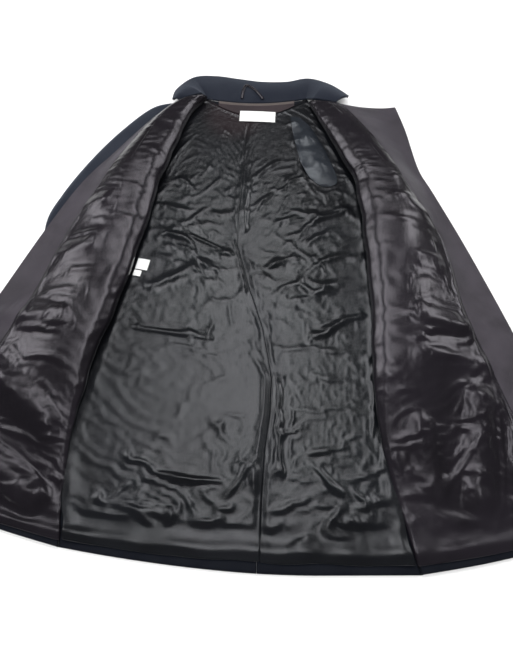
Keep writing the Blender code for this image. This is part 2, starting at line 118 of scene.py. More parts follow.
# Outline of the roll as shares of its height, from its foot inside the front to its top.
ROLL = (
    (0.35, 0.0), (0.31, 0.0), (0.11, 0.33), (0.0, 0.54), (0.07, 0.76), (0.34, 0.94), (0.76, 1.0),
)
ROLL_FOOT = 4.8
ROLL_LEAST = 1.5
ROLL_END = 1.30
ROLL_STEP = 0.8
ROLL_SWELL = 2.2

# The turned up hem is the last of 26 rows of a cloth, and the lining ends above its lower edge.
LAST_ROW = 1 / 26
LINING_END = 1 - 0.42 * LAST_ROW
HEM_ROLL_HEIGHT = 3.2
HEM_WAVE = 2.4
HEM_CURVE_FROM = 1 - 2.2 * LAST_ROW

# Below this line of the plan the back lining rises at its side seams to meet the front lining.
SEAM_LEVEL_BELOW = 240.0
SEAM_RISE = 2.0

# The back lining is creased most above the first of these lines and below the second.
BUSY_ABOVE = 420.0
BUSY_BELOW = 170.0

# The wide folds of the back stay so far above its hem and below a line under the neck.
FOLDS_OFF_HEM = 60.0
FOLDS_BELOW = 812.0

# How loosely the lining lies, how far creases may sink and rise, and how their drawn sizes change.
LOOSE = 0.9
DEEPEST = -1.3
HIGHEST = 12.0
CREASE_SPREAD = 1.8
CREASE_RISE = 0.74
CREASE_ENDS = 0.4
SHARPNESS = 0.55
FOLD_CLEAR = 26.0

# The settling of the satin. Growth is a share, no point moves further than the cap, and the ground
# is the layer below with fewer points. The counts are the rows and columns that the seams hold.
SETTLE_STRETCH = 12.0
SETTLE_BEND = 0.3
SETTLE_FRAMES = 12
SETTLE_CAP = 9.0
SETTLE_GROWTH = 0.006
SETTLE_SPACE = 0.0006
GROUND_BELOW = 0.6
GROUND_STEP = 3
HELD_AT_TOP = 3
HELD_AT_HEM = 10
HELD_AT_SIDE = 3

# Wide folds of the fronts and of the back lining. Columns: start x, y, end x, y, height, half
# width.
FOLDS = {
    "left": (
        (-300, 205, -440, 330, 12, 34),
        (-330, 110, -450, 205, 14, 34),
        (-240, 560, -330, 520, 6, 28),
        (-215, 650, -290, 625, 6, 24),
        (-320, 400, -420, 420, 7, 32),
        (-500, 200, -480, 300, 6, 30),
    ),
    "right": (
        (250, 400, 330, 385, 8, 26),
        (245, 330, 360, 322, 4, 30),
        (215, 650, 290, 610, 6, 24),
        (330, 110, 345, 260, 13, 32),
        (262, 120, 250, 220, 7, 26),
        (400, 150, 420, 260, 7, 30),
        (225, 520, 300, 500, 5, 24),
    ),
    "back": (
        (-20, 845, -30, 600, 7, 20),
        (-190, 402, -80, 386, 6, 30),
        (100, 380, 185, 416, 6, 30),
        (-150, 590, -60, 545, 8, 24),
        (-170, 480, -90, 520, 7, 24),
        (45, 610, 150, 640, 8, 26),
        (30, 520, 120, 470, 7, 26),
        (60, 700, 20, 620, 5, 24),
        (26, 300, 34, 150, 8, 22),
        (-200, 330, -60, 300, 2.5, 40),
        (70, 330, 160, 280, 2.5, 36),
        (-190, 170, -80, 120, 8, 24),
        (-230, 110, -120, 70, 7, 22),
        (60, 140, 150, 110, 7, 26),
        (-60, 220, 0, 130, 6, 24),
        (10, 52, 190, 46, 6, 18),
    ),
}

# Creases of the satin, each a path and its height, its half width on the left of the way that the
# path runs, and its half width on the right. A narrow side is steep. A trough has a height below 0.
CREASES = {
    "back": (
        (((-33, 770), (-31, 700), (-33, 630), (-37, 556)), 5, 26, 3),
        (((-16, 760), (-17, 690), (-20, 620), (-20, 545)), 3, 4, 16),
        (((16, 440), (20, 400), (22, 368), (27, 328), (33, 301)), 5, 4, 13),
        (((34, 305), (36, 259), (35, 200), (34, 140), (26, 96)), 6, 12, 6),
        (((14, 290), (10, 231), (4, 189), (0, 148), (-2, 100)), 4, 4, 15),
        (((-107, 831), (-134, 798), (-154, 770), (-166, 738), (-178, 685)), 7, 6, 12),
        (((-170, 700), (-137, 711), (-119, 690), (-100, 664)), 7, 6, 12),
        (((-185, 652), (-161, 647), (-140, 640), (-118, 628)), 5, 8, 4),
        (((-168, 622), (-130, 608), (-100, 634), (-84, 650)), 6, 10, 5),
        (((-100, 645), (-70, 628), (-44, 632), (-36, 655)), 5, 10, 4),
        (((-196, 590), (-171, 594), (-140, 598), (-99, 604), (-60, 612)), 5, 9, 5),
        (((-186, 574), (-157, 585), (-130, 577), (-108, 560)), 6, 8, 4),
        (((-190, 560), (-166, 556), (-136, 557), (-112, 548), (-95, 520)), 5, 9, 4),
        (((-123, 566), (-108, 546), (-98, 529), (-86, 514), (-52, 508), (-24, 510)), 6, 10, 4),
        (((-190, 548), (-161, 535), (-135, 521), (-112, 526)), 5, 8, 4),
        (((-119, 530), (-103, 512), (-93, 492), (-82, 466)), 6, 5, 12),
        (((-64, 590), (-52, 560), (-42, 540), (-34, 520)), 5, 5, 10),
        (((-30, 548), (-13, 527), (-4, 506), (2, 488)), 4, 4, 8),
        (((-215, 402), (-192, 392), (-155, 386), (-115, 384), (-90, 378), (-66, 373)), 8, 20, 6),
        (((-100, 403), (-80, 394), (-58, 378)), 4, 8, 4),
        (((-240, 352), (-205, 350), (-160, 356), (-128, 360), (-100, 352), (-72, 341),
          (-47, 348), (-4, 352)), 3, 12, 4),
        (((-113, 262), (-118, 248), (-124, 230)), 4, 6, 10),
        (((-60, 239), (-40, 240), (-18, 238)), 4, 8, 4),
        (((-160, 206), (-146, 205), (-128, 203)), 4, 7, 4),
        (((-126, 186), (-104, 187), (-76, 188), (-50, 196)), 4, 9, 4),
        (((-202, 170), (-180, 165), (-150, 163)), 4, 7, 4),
        (((-72, 168), (-56, 168), (-38, 170)), 4, 7, 4),
        (((-60, 140), (-40, 157), (-20, 160), (-3, 154)), 6, 8, 5),
        (((-224, 98), (-204, 118), (-177, 142)), 6, 5, 9),
        (((-180, 140), (-160, 136), (-138, 128)), 5, 12, 4),
        (((-174, 124), (-168, 106), (-163, 90)), 5, 5, 9),
        (((-136, 145), (-114, 137), (-90, 132), (-56, 133), (-38, 140)), 10, 14, 4),
        (((-50, 100), (-38, 118), (-22, 140), (-6, 158)), 8, 10, 5),
        (((-66, 84), (-46, 90), (-24, 94)), 8, 12, 4),
        (((-104, 74), (-84, 70), (-60, 72), (-36, 80)), 8, 10, 4),
        (((-104, 118), (-98, 100), (-88, 78)), 7, 5, 8),
        (((-138, 100), (-126, 82), (-132, 62)), 6, 7, 4),
        (((-190, 92), (-165, 76), (-144, 62)), 6, 8, 4),
        (((-118, 112), (-112, 96), (-116, 76)), 5, 4, 5),
        (((-78, 112), (-66, 102), (-52, 108)), 5, 5, 4),
        (((48, 349), (80, 355), (112, 351), (150, 350)), 3, 9, 4),
        (((80, 372), (112, 384), (132, 398), (152, 412), (186, 414)), 10, 22, 6),
        (((30, 202), (48, 207), (66, 214), (84, 224)), 6, 9, 4),
        (((64, 176), (90, 176), (112, 179), (130, 184)), 5, 8, 4),
        (((62, 178), (78, 162), (94, 146), (112, 126), (136, 104)), 8, 5, 6),
        (((120, 162), (126, 182), (142, 200), (165, 204), (190, 196)), 5, 6, 12),
        (((120, 124), (150, 134), (180, 146), (210, 154)), 8, 12, 4),
        (((134, 92), (156, 94), (180, 98), (200, 96)), 9, 9, 4),
        (((128, 78), (140, 70), (152, 60)), 7, 8, 4),
        (((88, 50), (104, 70), (120, 88), (136, 106)), 9, 5, 9),
        (((90, 50), (118, 49), (142, 42)), 6, 9, 4),
        (((2, 92), (34, 88), (58, 98), (84, 108), (104, 108)), 7, 12, 5),
        (((0, 64), (24, 62), (46, 76)), 6, 12, 5),
        (((40, 30), (62, 44), (90, 54)), 6, 5, 8),
        (((148, 112), (166, 100), (188, 84)), 5, 4, 6),
        (((160, 116), (176, 108), (196, 96)), 5, 4, 6),
        (((142, 120), (156, 104), (168, 86)), 4, 4, 5),
        (((52, 842), (68, 812), (78, 770), (82, 730), (92, 700), (110, 668)), 4, 4, 12),
        (((2, 648), (18, 668), (36, 681)), 6, 9, 7),
        (((28, 676), (52, 690), (66, 708), (92, 713)), 8, 14, 6),
        (((30, 628), (56, 638), (89, 628), (129, 622), (174, 646)), 8, 12, 5),
        (((40, 606), (62, 612), (90, 622)), 6, 8, 4),
        (((72, 580), (84, 594), (100, 610), (130, 622)), 7, 9, 4),
        (((92, 630), (98, 618), (108, 600)), 5, 5, 6),
        (((78, 545), (97, 572), (121, 588), (142, 600)), 9, 6, 16),
        (((-4, 560), (16, 545), (38, 541), (66, 546)), 6, 9, 5),
        (((56, 572), (64, 560), (72, 546)), 5, 5, 5),
        (((-4, 514), (20, 516), (48, 527), (74, 533), (90, 514)), 7, 12, 4),
        (((-2, 500), (10, 494), (28, 492)), 5, 6, 4),
        (((84, 500), (104, 516), (122, 531), (138, 535), (164, 540)), 9, 16, 5),
        (((20, 448), (52, 476), (72, 482), (90, 468), (106, 462), (124, 474),
          (150, 484), (172, 476)), 10, 20, 6),
        (((-12, 710), (9, 728), (30, 747), (54, 758)), 6, 5, 7),
        (((0, 648), (10, 660), (24, 672)), 6, 5, 6),
        (((-70, 840), (-56, 830), (-40, 822)), 4, 4, 5),
        (((-18, 746), (-6, 750), (6, 753)), 4, 4, 4),
        (((-64, 678), (-50, 686), (-36, 696)), 4, 4, 6),
        (((-18, 706), (-8, 709), (4, 713)), 4, 4, 4),
        (((52, 838), (72, 850), (88, 846)), 5, 6, 8),
        (((60, 800), (74, 806), (90, 802)), 4, 5, 7),
        (((-230, 300), (-200, 312), (-165, 308)), 4, 12, 6),
        (((-90, 290), (-60, 300), (-30, 296)), 4, 12, 6),
        (((60, 290), (100, 302), (140, 298)), 4, 14, 7),
        (((50, 250), (90, 244), (130, 252)), 4, 12, 6),
        (((-236, 230), (-200, 222), (-170, 228)), 4, 10, 5),
        (((-90, 458), (-60, 446), (-30, 450)), 4, 12, 6),
        (((30, 440), (60, 428), (90, 430)), 4, 10, 5),
        (((-70, 770), (-90, 740), (-104, 706)), 4, 8, 14),
        (((-60, 720), (-80, 700), (-96, 676)), 4, 6, 10),
    ),
    "left": (
        (((-396, 273), (-373, 253), (-356, 221), (-335, 179), (-316, 149), (-296, 132),
          (-262, 126), (-235, 114), (-205, 96), (-172, 76)), 9, 12, 12),
        (((-394, 216), (-363, 170), (-335, 136), (-310, 110), (-285, 91), (-250, 74)), 9, 12, 14),
        (((-470, 160), (-430, 150), (-380, 128), (-340, 96), (-300, 74)), 6, 14, 9),
        (((-337, 197), (-310, 198), (-290, 197)), 7, 8, 4),
        (((-288, 194), (-296, 168), (-305, 136)), 6, 6, 9),
        (((-340, 224), (-315, 212), (-290, 200)), 5, 6, 5),
        (((-330, 248), (-308, 232), (-286, 206)), 5, 5, 7),
        (((-216, 738), (-195, 730), (-172, 716)), 7, 6, 3),
        (((-212, 726), (-188, 718), (-168, 706)), 7, 6, 3),
        (((-206, 713), (-184, 705), (-166, 695)), 6, 5, 3),
        (((-200, 752), (-180, 742), (-160, 724)), 6, 6, 3),
        (((-200, 698), (-184, 690), (-172, 680)), 5, 5, 3),
        (((-230, 664), (-218, 660), (-205, 656)), 5, 7, 3),
        (((-255, 600), (-230, 592), (-205, 590)), 5, 11, 4),
        (((-230, 640), (-214, 622), (-206, 600)), 4, 6, 10),
        (((-330, 562), (-302, 566), (-272, 561)), 5, 9, 5),
        (((-372, 580), (-340, 548), (-306, 540)), 5, 11, 6),
        (((-322, 500), (-297, 484), (-262, 490)), 5, 11, 5),
        (((-416, 446), (-392, 430), (-366, 420)), 6, 10, 3),
        (((-430, 424), (-410, 416), (-392, 414)), 5, 9, 4),
        (((-234, 512), (-242, 474), (-249, 439), (-256, 400)), 5, 7, 12),
        (((-286, 440), (-320, 452), (-360, 448)), 4, 16, 9),
        (((-290, 380), (-330, 376), (-372, 388), (-410, 382)), 4, 16, 9),
        (((-300, 320), (-340, 332), (-380, 328)), 5, 14, 7),
        (((-372, 300), (-340, 296), (-310, 302)), 4, 8, 12),
        (((-402, 330), (-390, 352), (-376, 366)), 4, 6, 9),
        (((-280, 620), (-300, 600), (-314, 574)), 4, 12, 16),
        (((-214, 790), (-200, 800), (-178, 806)), 4, 8, 10),
        (((-184, 840), (-168, 826), (-150, 818)), 5, 7, 9),
        (((-240, 700), (-256, 690), (-262, 668)), 4, 8, 12),
        (((-520, 230), (-490, 214), (-450, 216), (-410, 206)), 6, 12, 7),
        (((-540, 190), (-500, 176), (-460, 186)), 6, 10, 7),
    ),
    "right": (
        (((186, 318), (190, 288), (193, 250), (196, 215), (198, 192)), 4, 14, 4),
        (((172, 702), (197, 709), (216, 698), (230, 684)), 6, 6, 4),
        (((178, 714), (198, 719), (222, 708)), 5, 5, 4),
        (((184, 694), (206, 697), (224, 690)), 5, 5, 4),
        (((168, 690), (182, 696), (204, 688)), 5, 5, 4),
        (((216, 656), (232, 640), (248, 622)), 7, 5, 7),
        (((230, 656), (244, 642), (258, 630)), 6, 4, 6),
        (((202, 640), (216, 628), (228, 612)), 5, 5, 7),
        (((204, 592), (228, 588), (262, 582)), 5, 10, 4),
        (((206, 672), (226, 664), (240, 656)), 5, 5, 5),
        (((200, 503), (208, 500), (218, 503)), -2, 7, 7),
        (((252, 520), (256, 480), (253, 447), (256, 424)), 4, 5, 14),
        (((254, 432), (266, 420), (280, 400)), 5, 4, 7),
        (((212, 406), (240, 402), (268, 392)), 9, 16, 5),
        (((228, 360), (250, 354), (276, 368), (322, 374)), 8, 14, 4),
        (((330, 372), (347, 386), (379, 398), (418, 413)), 7, 12, 4),
        (((238, 344), (258, 352), (282, 362)), 5, 7, 4),
        (((268, 360), (283, 339), (287, 310), (288, 276), (288, 235), (276, 207),
          (266, 167), (256, 109)), -1.3, 20, 12),
        (((198, 190), (211, 192), (236, 198), (268, 207)), 8, 14, 4),
        (((206, 188), (212, 162), (220, 132)), 7, 5, 8),
        (((222, 180), (226, 158), (236, 136)), 6, 5, 8),
        (((200, 300), (214, 290), (226, 276)), 5, 4, 6),
        (((200, 322), (214, 314), (228, 300)), 5, 4, 6),
        (((286, 228), (318, 224), (358, 236)), 7, 10, 4),
        (((290, 212), (310, 212), (330, 204)), 6, 7, 4),
        (((294, 150), (318, 142), (346, 138)), 7, 9, 4),
        (((250, 86), (272, 112), (298, 144), (325, 177), (352, 222)), 9, 6, 12),
        (((374, 290), (368, 240), (366, 196), (366, 158), (361, 117), (356, 78)), 10, 10, 4),
        (((384, 200), (376, 150), (370, 100), (364, 60)), 7, 12, 5),
        (((398, 300), (420, 292), (440, 300)), 5, 9, 5),
        (((380, 250), (400, 240), (430, 246), (462, 238)), 6, 11, 5),
        (((390, 180), (420, 172), (450, 182)), 6, 12, 6),
        (((262, 60), (300, 70), (340, 64)), 6, 12, 6),
        (((300, 100), (312, 122), (300, 146)), 5, 6, 8),
        (((210, 100), (232, 112), (252, 102)), 6, 8, 6),
        (((208, 540), (226, 530), (244, 536)), 3, 12, 14),
        (((290, 560), (304, 530), (306, 500)), 4, 14, 9),
        (((300, 500), (314, 476), (318, 448)), 4, 8, 10),
        (((260, 330), (290, 326), (330, 330)), 4, 14, 8),
        (((212, 262), (232, 270), (256, 262)), 5, 9, 6),
        (((212, 232), (236, 240), (262, 234)), 5, 9, 6),
        (((300, 280), (330, 286), (352, 276)), 4, 12, 7),
    ),
}

# The seam down the middle of the back lining. Columns: y, x.
CENTRE_LINE = (
    (-10, 3), (99, 7), (183, 13), (239, 21), (301, 24), (393, 10), (480, -14),
    (563, -33), (618, -33), (700, -26), (788, -22), (868, -14), (930, -8),
)

# The neck line of the back rises from its middle to its ends, and the back hem rises to the left.
NECK_Y = 903.0
NECK_RISE = 12.0
NECK_HALF = 98.0
NECK_ENDS = 99.0
HEM_Y = -4.0
HEM_RISE = 38.0
HEM_RISE_FROM = 90.0
HEM_RISE_SPAN = 372.0

# The facing of the back neck, the pale strip along the collar, and the warmer satin beside it.
NECK_FACING_DEPTH = 30.0
NECK_FACING_HALF = 74.0
NECK_FACING_SPAN = 92.0
NECK_STRIP = 6.0
NECK_GLOW = (-42, 872, 3)
NECK_GLOW_INNER = 30.0
NECK_GLOW_OUTER = 78.0

# The flat sleeves. Columns: outer x, outer y, inner x, inner y, height.
SLEEVE = {
    "left": (
        (-158, 905, -140, 800, 8),
        (-204, 890, -176, 762, 11),
        (-262, 826, -190, 728, 12),
        (-312, 752, -206, 660, 12),
        (-352, 676, -216, 592, 11),
        (-374, 610, -232, 530, 10),
        (-366, 520, -246, 470, 10),
        (-352, 430, -262, 410, 9),
    ),
    "right": (
        (160, 868, 150, 800, 8),
        (216, 850, 170, 752, 11),
        (256, 780, 180, 690, 12),
        (270, 700, 190, 640, 12),
        (284, 620, 212, 570, 11),
        (300, 540, 214, 500, 10),
        (322, 440, 218, 420, 10),
        (340, 340, 222, 330, 9),
    ),
}
SLEEVE_SIDE_GAP = {"left": 1.9, "right": 2.3}
SLEEVE_ROOF_GAP = 2.6

# Free edge of the collar from its left end to its right end. Columns: x, y, z.
COLLAR_EDGE = (
    (-164, 903, 15), (-156, 928, 18), (-124, 964, 14), (-82, 976, 6), (-36, 970, 4),
    (10, 962, 4), (60, 962, 4), (104, 969, 6), (146, 946, 12), (181, 914, 13),
)
COLLAR_ARCH = 6.0
COLLAR_END_X = 163.0
COLLAR_NECK_HALF = 97.0
COLLAR_SEAM_GAP = 0.8
COLLAR_FRONT_GAP = 4.4
COLLAR_LIFT = 0.9

# The hanger loop: half its width, its height over the collar's middle, its thickness, and its path
# as shares along and across the collar.
HANGER_HALF = 2.25
HANGER_LIFT = 2.9
HANGER_THICK = 1.2
HANGER_PATH = (
    (0.425, 0.10), (0.436, 0.26), (0.450, 0.44), (0.464, 0.58), (0.476, 0.64),
    (0.490, 0.58), (0.510, 0.44), (0.530, 0.26), (0.544, 0.10),
)

# The sleeve's lining in the right armhole, from its top down. Columns: y, inner x, outer x.
ARMHOLE_TOP = 866.0
ARMHOLE_FOOT = 694.0
ARMHOLE_PUFF = 5.0
ARMHOLE = (
    (866, 66, 80), (842, 67, 101), (812, 71, 116), (780, 76, 129), (748, 83, 140),
    (718, 95, 148), (700, 110, 147), (692, 122, 136),
)

# How high a label lies on the satin and how much its middle rises.
LABEL_LIFT = 0.7
LABEL_ARCH = 0.5

# Labels. Columns: centre x, centre y, width, length, turn in degrees.
LABELS = {
    "neck_label": (2, 866, 69, 27, -3),
    "care_label": (-196, 520, 21, 22, -12),
    "care_label_small": (-204, 502, 13, 12, -12),
}

# The studio, in metres and watts. Columns: name, place, target, width, length, power, seen as a
# shine.
LIGHTS = (
    ("overhead", (-0.05, 0.93, 2.0), (0.0, 0.93, 0.0), 1.8, 0.5, 16.0, True),
    ("right_fill", (1.95, 1.70, 1.9), (0.1, 0.1, 0.0), 1.3, 0.9, 22.0, True),
    ("left_fill", (-1.9, 1.42, 1.9), (-0.1, 0.1, 0.0), 1.2, 0.9, 22.0, True),
    ("front_fill", (-0.5, -2.2, 2.4), (0.0, 0.0, 0.0), 2.4, 2.0, 66.0, False),
    ("ceiling", (0.0, 0.0, 3.0), (0.0, 0.0, 0.0), 3.4, 3.4, 56.0, False),
)
WORLD_LIGHT = 0.11
FLOOR_HALF = 6.0
FLOOR_Z = -0.0006

# The camera of the photo: its place in metres, its tilt in degrees and its focal length in pixels
# of a picture of so many rows.
CAMERA_PLACE = (0.029, -0.74985, 1.144)
CAMERA_TILT = 30.0
FOCAL_PIXELS = 800
PICTURE_PIXELS = 655
SENSOR_HEIGHT = 36.0


def curve(table, shares):
    """Rows of a table at shares from 0 to 1 of its length, on a smooth curve through its rows."""
    rows = np.array(table, float)
    place = np.clip(np.atleast_1d(shares), 0, 1) * (len(rows) - 1)
    first = np.minimum(place.astype(int), len(rows) - 2)
    t = (place - first)[:, None]
    before, here = rows[np.maximum(first - 1, 0)], rows[first]
    there, after = rows[first + 1], rows[np.minimum(first + 2, len(rows) - 1)]
    slope_in, slope_out, rise = (there - before) / 2, (after - here) / 2, there - here
    return (here + slope_in * t + (3 * rise - 2 * slope_in - slope_out) * t ** 2
            + (slope_in + slope_out - 2 * rise) * t ** 3)


def ease(value):
    """A soft step: 0 below 0, 1 above 1."""
    value = np.clip(value, 0, 1)
    return value * value * (3 - 2 * value)


def centre_line(y):
    """Where the middle seam of the back lining is at a y."""
    ys, xs = zip(*CENTRE_LINE)
    return np.interp(y, ys, xs)


def back_hem(x):
    """Where the lower edge of the back is at an x."""
    return HEM_Y + HEM_RISE * np.maximum(0, (HEM_RISE_FROM - x) / HEM_RISE_SPAN) ** 1.8


def neck_line(x):
    """Where the upper edge of the back is at an x."""
    return NECK_Y + NECK_RISE * np.minimum(1, np.abs(x) / NECK_HALF) ** 2


def neck_facing_depth(x):
    """How far the neck facing reaches down at an x."""
    return NECK_FACING_DEPTH * np.maximum(0, 1 - (x / NECK_FACING_SPAN) ** 2)


def outward(side):
    """The way from the middle of the back to a side, along x."""
    return -1 if side == "left" else 1


def fold_height(folds, x, y):
    """What the highest of a table of wide folds adds to the height of the cloth at x, y."""
    height = np.zeros_like(x)
    for x0, y0, x1, y1, rise, half in folds:
        run_x, run_y = x1 - x0, y1 - y0
        along = np.clip(((x - x0) * run_x + (y - y0) * run_y) / (run_x ** 2 + run_y ** 2), 0, 1)
        away = np.hypot(x - x0 - along * run_x, y - y0 - along * run_y) / half
        height = np.maximum(height, rise * (0.5 + 0.5 * np.cos(np.pi * np.minimum(away, 1))))
    return height


def crease_height(creases, x, y):
    """What a table of creases adds to the height of the cloth at x, y."""
    total = np.zeros_like(x)
    for path, height, half, steep in creases:
        if half > steep:
            half *= CREASE_SPREAD
        elif steep > half:
            steep *= CREASE_SPREAD
        line = curve(path, np.linspace(0, 1, 5 * len(path)))
        reach = max(half, steep)
        near = ((x > line[:, 0].min() - reach) & (x < line[:, 0].max() + reach)
                & (y > line[:, 1].min() - reach) & (y < line[:, 1].max() + reach))
        if not near.any():
            continue
        px, py = x[near], y[near]
        best = np.full(px.shape, 1e6)
        side, along, passed = np.zeros_like(px), np.zeros_like(px), 0.0
        for start, end in zip(line, line[1:]):
            run = end - start
            size = math.hypot(*run)
            if size < 1e-6:
                continue
            t = np.clip(((px - start[0]) * run[0] + (py - start[1]) * run[1]) / size ** 2, 0, 1)
            dx, dy = px - start[0] - t * run[0], py - start[1] - t * run[1]
            away = np.hypot(dx, dy)
            closer = away < best
            best = np.where(closer, away, best)
            side = np.where(closer, run[0] * dy - run[1] * dx, side)
            along = np.where(closer, passed + t * size, along)
            passed += size
        away = np.clip(best / np.where(side > 0, half, steep), 0, 1)
        shape = (1 - away) ** 2 * (1 + 2 * away * (1 - SHARPNESS))
        ends = ease(along / passed / CREASE_ENDS) * ease((1 - along / passed) / CREASE_ENDS)
        total[near] += height * CREASE_RISE * shape * ends
    return total


def unevenness(x, y, size, seed, stretch=1.0):
    """Soft waves from -1 to 1, a few times as long as size, and longer across where stretched."""
    flat = [noise.noise(Vector((a / (size * stretch), b / size, seed)))
            for a, b in zip(x.ravel(), y.ravel())]
    return np.array(flat).reshape(x.shape)


def crumple(x, y, size, seed):
    """Small sharp crests between soft hollows, from 0 to 1."""
    turned = (x * 0.8 + y * 0.6, y * 0.8 - x * 0.6)
    crest = 1 - np.abs(unevenness(turned[0], turned[1], size, seed)) * 4
    return np.clip(crest, 0, 1) ** 1.5


def settle(height, amount):
    """Heights kept between the wool below and a real fold's height."""
    high = HIGHEST * np.tanh(np.maximum(height, 0) * amount / HIGHEST)
    low = DEEPEST * np.tanh(np.minimum(height, 0) * amount / DEEPEST)
    return high + low


def front_surface(side, shares, lining_cells=60, facing_cells=26, roll_cells=24):
    """The middle of a wool front: its points, the column of the roll's crest and of the seam."""
    shares = np.asarray(shares)
    cx, cy, ex, ey, roll, edge, seam = curve(FRONT[side], shares).T
    roll, edge = np.maximum(roll, ROLL_LEAST), np.maximum(edge, 0)
    width = np.hypot(ex - cx, ey - cy)
    ox, oy = (ex - cx) / width, (ey - cy) / width
    start, turn = ROLL_END * roll, seam * width
    wave = unevenness(cx, cy, 48, 2.9) * ease((roll - 8) / 12) * 2
    control = []
    for step, (away, up) in enumerate(ROLL):
        foot = (ROLL_FOOT + (step - 1) * ROLL_STEP if step else 0.0) * ease((roll - 3) / 7)
        swell = ROLL_SWELL * wave * math.sin(math.pi * step / len(ROLL))
        control.append(np.stack((away * roll - swell, np.maximum(up * roll, foot)), 1))
    control.append(np.stack((start, roll), 1))
    control = np.array(control)
    bend = curve(control.reshape(len(control), -1), np.linspace(0, 1, roll_cells + 1))
    bend = bend.reshape(roll_cells + 1, -1, 2).transpose(1, 0, 2)
    first = np.linspace(0, 1, lining_cells + 1)[1:]
    second = np.linspace(0, 1, facing_cells + 1)[1:]
    flat = np.concatenate((start[:, None] + (turn - start)[:, None] * first,
                           turn[:, None] + (width - turn)[:, None] * second), 1)
    away = np.concatenate((bend[..., 0], flat), 1)
    x, y = cx[:, None] + ox[:, None] * away, cy[:, None] + oy[:, None] * away
    t = away / width[:, None]
    fall = ease((flat - start[:, None]) / (width - start)[:, None])
    up = edge[:, None] + (roll - edge)[:, None] * (1 - fall)
    columns = slice(roll_cells + 1, None)
    up += (fold_height(FOLDS[side], x[:, columns], y[:, columns])
           * ease((flat - start[:, None]) / FOLD_CLEAR) * ease((1 - t[:, columns]) * 6))
    sag = (HEM_SAG * ease((shares - 1) / HEM_SAG_SHARE + 1)
           + NECK_DIP[side] * ease(1 - shares / NECK_DIP_SHARE))
    y = y - sag[:, None] * np.sin(np.pi * np.clip(t, 0, 1))
    z = WOOL_MID + np.concatenate((bend[..., 1], up), 1)
    crest = roll_cells * 5 // 7
    return np.stack((x, y, z), 2), crest, roll_cells + lining_cells


def normals(points):
    """The way out of a grid at each point, on the side that looks up at its last column."""
    across = np.gradient(points, axis=1)
    along = np.gradient(points, axis=0)
    face = np.cross(across, along)
    face /= np.linalg.norm(face, axis=2, keepdims=True)
    return face * (1 if face[:, -1, 2].sum() > 0 else -1)


def moved_out(points, distance):
    """A grid moved away from itself, all by one distance or each point by its own."""
    distance = np.asarray(distance, float)
    return points + normals(points) * (distance[..., None] if distance.ndim else distance)


def drawn_in(points, column, distance):
    """One long side pulled back along its own rows."""
    points = points.copy()
    inner = 1 if column == 0 else -2
    run = points[:, inner] - points[:, column]
    points[:, column] += run / np.linalg.norm(run, axis=1, keepdims=True) * distance
    return points


def side_seam(side, shares):
    """The foot of a front on the floor, and the way inward from it."""
    foot = front_surface(side, shares, 2, 2, 7)[0][:, 0]
    run = np.gradient(foot, axis=0)
    inward = np.stack((-run[:, 1], run[:, 0]), 1)
    inward /= np.linalg.norm(inward, axis=1, keepdims=True)
    inward *= np.where(inward[:, :1] * foot[:, :1] > 0, -1, 1)
    return foot, inward


def side_at(side, y):
    """Where the foot of a front is at a y."""
    foot = side_seam(side, np.linspace(0, 1, 80))[0]
    order = np.argsort(foot[:, 1])
    return np.interp(y, foot[order, 1], foot[order, 0])


def back_surface(side, shares, middle, clear, cells):
    """The middle of a back cloth, on the floor, between a line down the middle and the side."""
    foot, inward = side_seam(side, shares)
    end = foot[:, :2] + inward * clear
    start_y = neck_line(0) + (back_hem(0) - neck_line(0)) * shares
    start_x = middle(start_y) + outward(side) * SEAM_GAP / 2
    t = np.linspace(0, 1, cells + 1)[None, :]
    x = start_x[:, None] + (end[:, :1] - start_x[:, None]) * t
    y = start_y[:, None] + (end[:, 1:] - start_y[:, None]) * t

    def bow(line):
        first, last = line(start_x)[:, None], line(end[:, 0])[:, None]
        return line(x) - first - (last - first) * t

    y += bow(neck_line) * ((1 - shares) ** 6)[:, None] + bow(back_hem) * (shares ** 6)[:, None]
    if shares[0] == 0:
        top = x[:1]
        reach = (neck_line(top) - y[:1]) * (1 - ease((np.abs(top) - NECK_ENDS) / 10))
        y += reach * ((1 - shares) ** 6)[:, None]
    return np.stack((x, y, np.full_like(x, WOOL_MID)), 2)


def back_lining_z(x, y, strength=1.0):
    """The height of the back lining, with its folds and creases."""
    room = np.minimum(x - side_at("left", y), side_at("right", y) - x)
    off_seams = ease((room - 14) / FOLD_CLEAR) * ease((np.abs(x - centre_line(y)) - 2) / 14)
    off_ends = ease((y - FOLDS_OFF_HEM - back_hem(x)) / 18) * ease((FOLDS_BELOW - y) / 60)
    folds = fold_height(FOLDS["back"], x, y) * off_seams * off_ends
    busy = 0.2 + 0.8 * np.maximum(ease((y - BUSY_ABOVE) / 60), ease((BUSY_BELOW - y) / 60))
    bunched = ease((BUSY_BELOW - y) / 50) * ease(-x / 30)
    creases = crease_height(CREASES["back"], x, y) * (0.6 + 0.4 * busy + 0.3 * bunched)
    small = (crumple(x, y, 46, 3.1) * 0.6 * busy + unevenness(x, y, 24, 7.7) * 0.7 * busy
             + unevenness(x, y, 70, 1.3) * (1.2 + 1.2 * busy))
    edge = ease((room - 4) / 10)
    ends = ease((y - back_hem(x) - 22) / 26) * ease((neck_line(x) - 34 - y) / 20)
    level = SEAM_RISE * ease((SEAM_LEVEL_BELOW - y) / 90) * ease((34 - room) / 26)
    return (LINING_MID + LOOSE * ends + settle((creases + small) * edge * ends, strength)
            + folds + level)


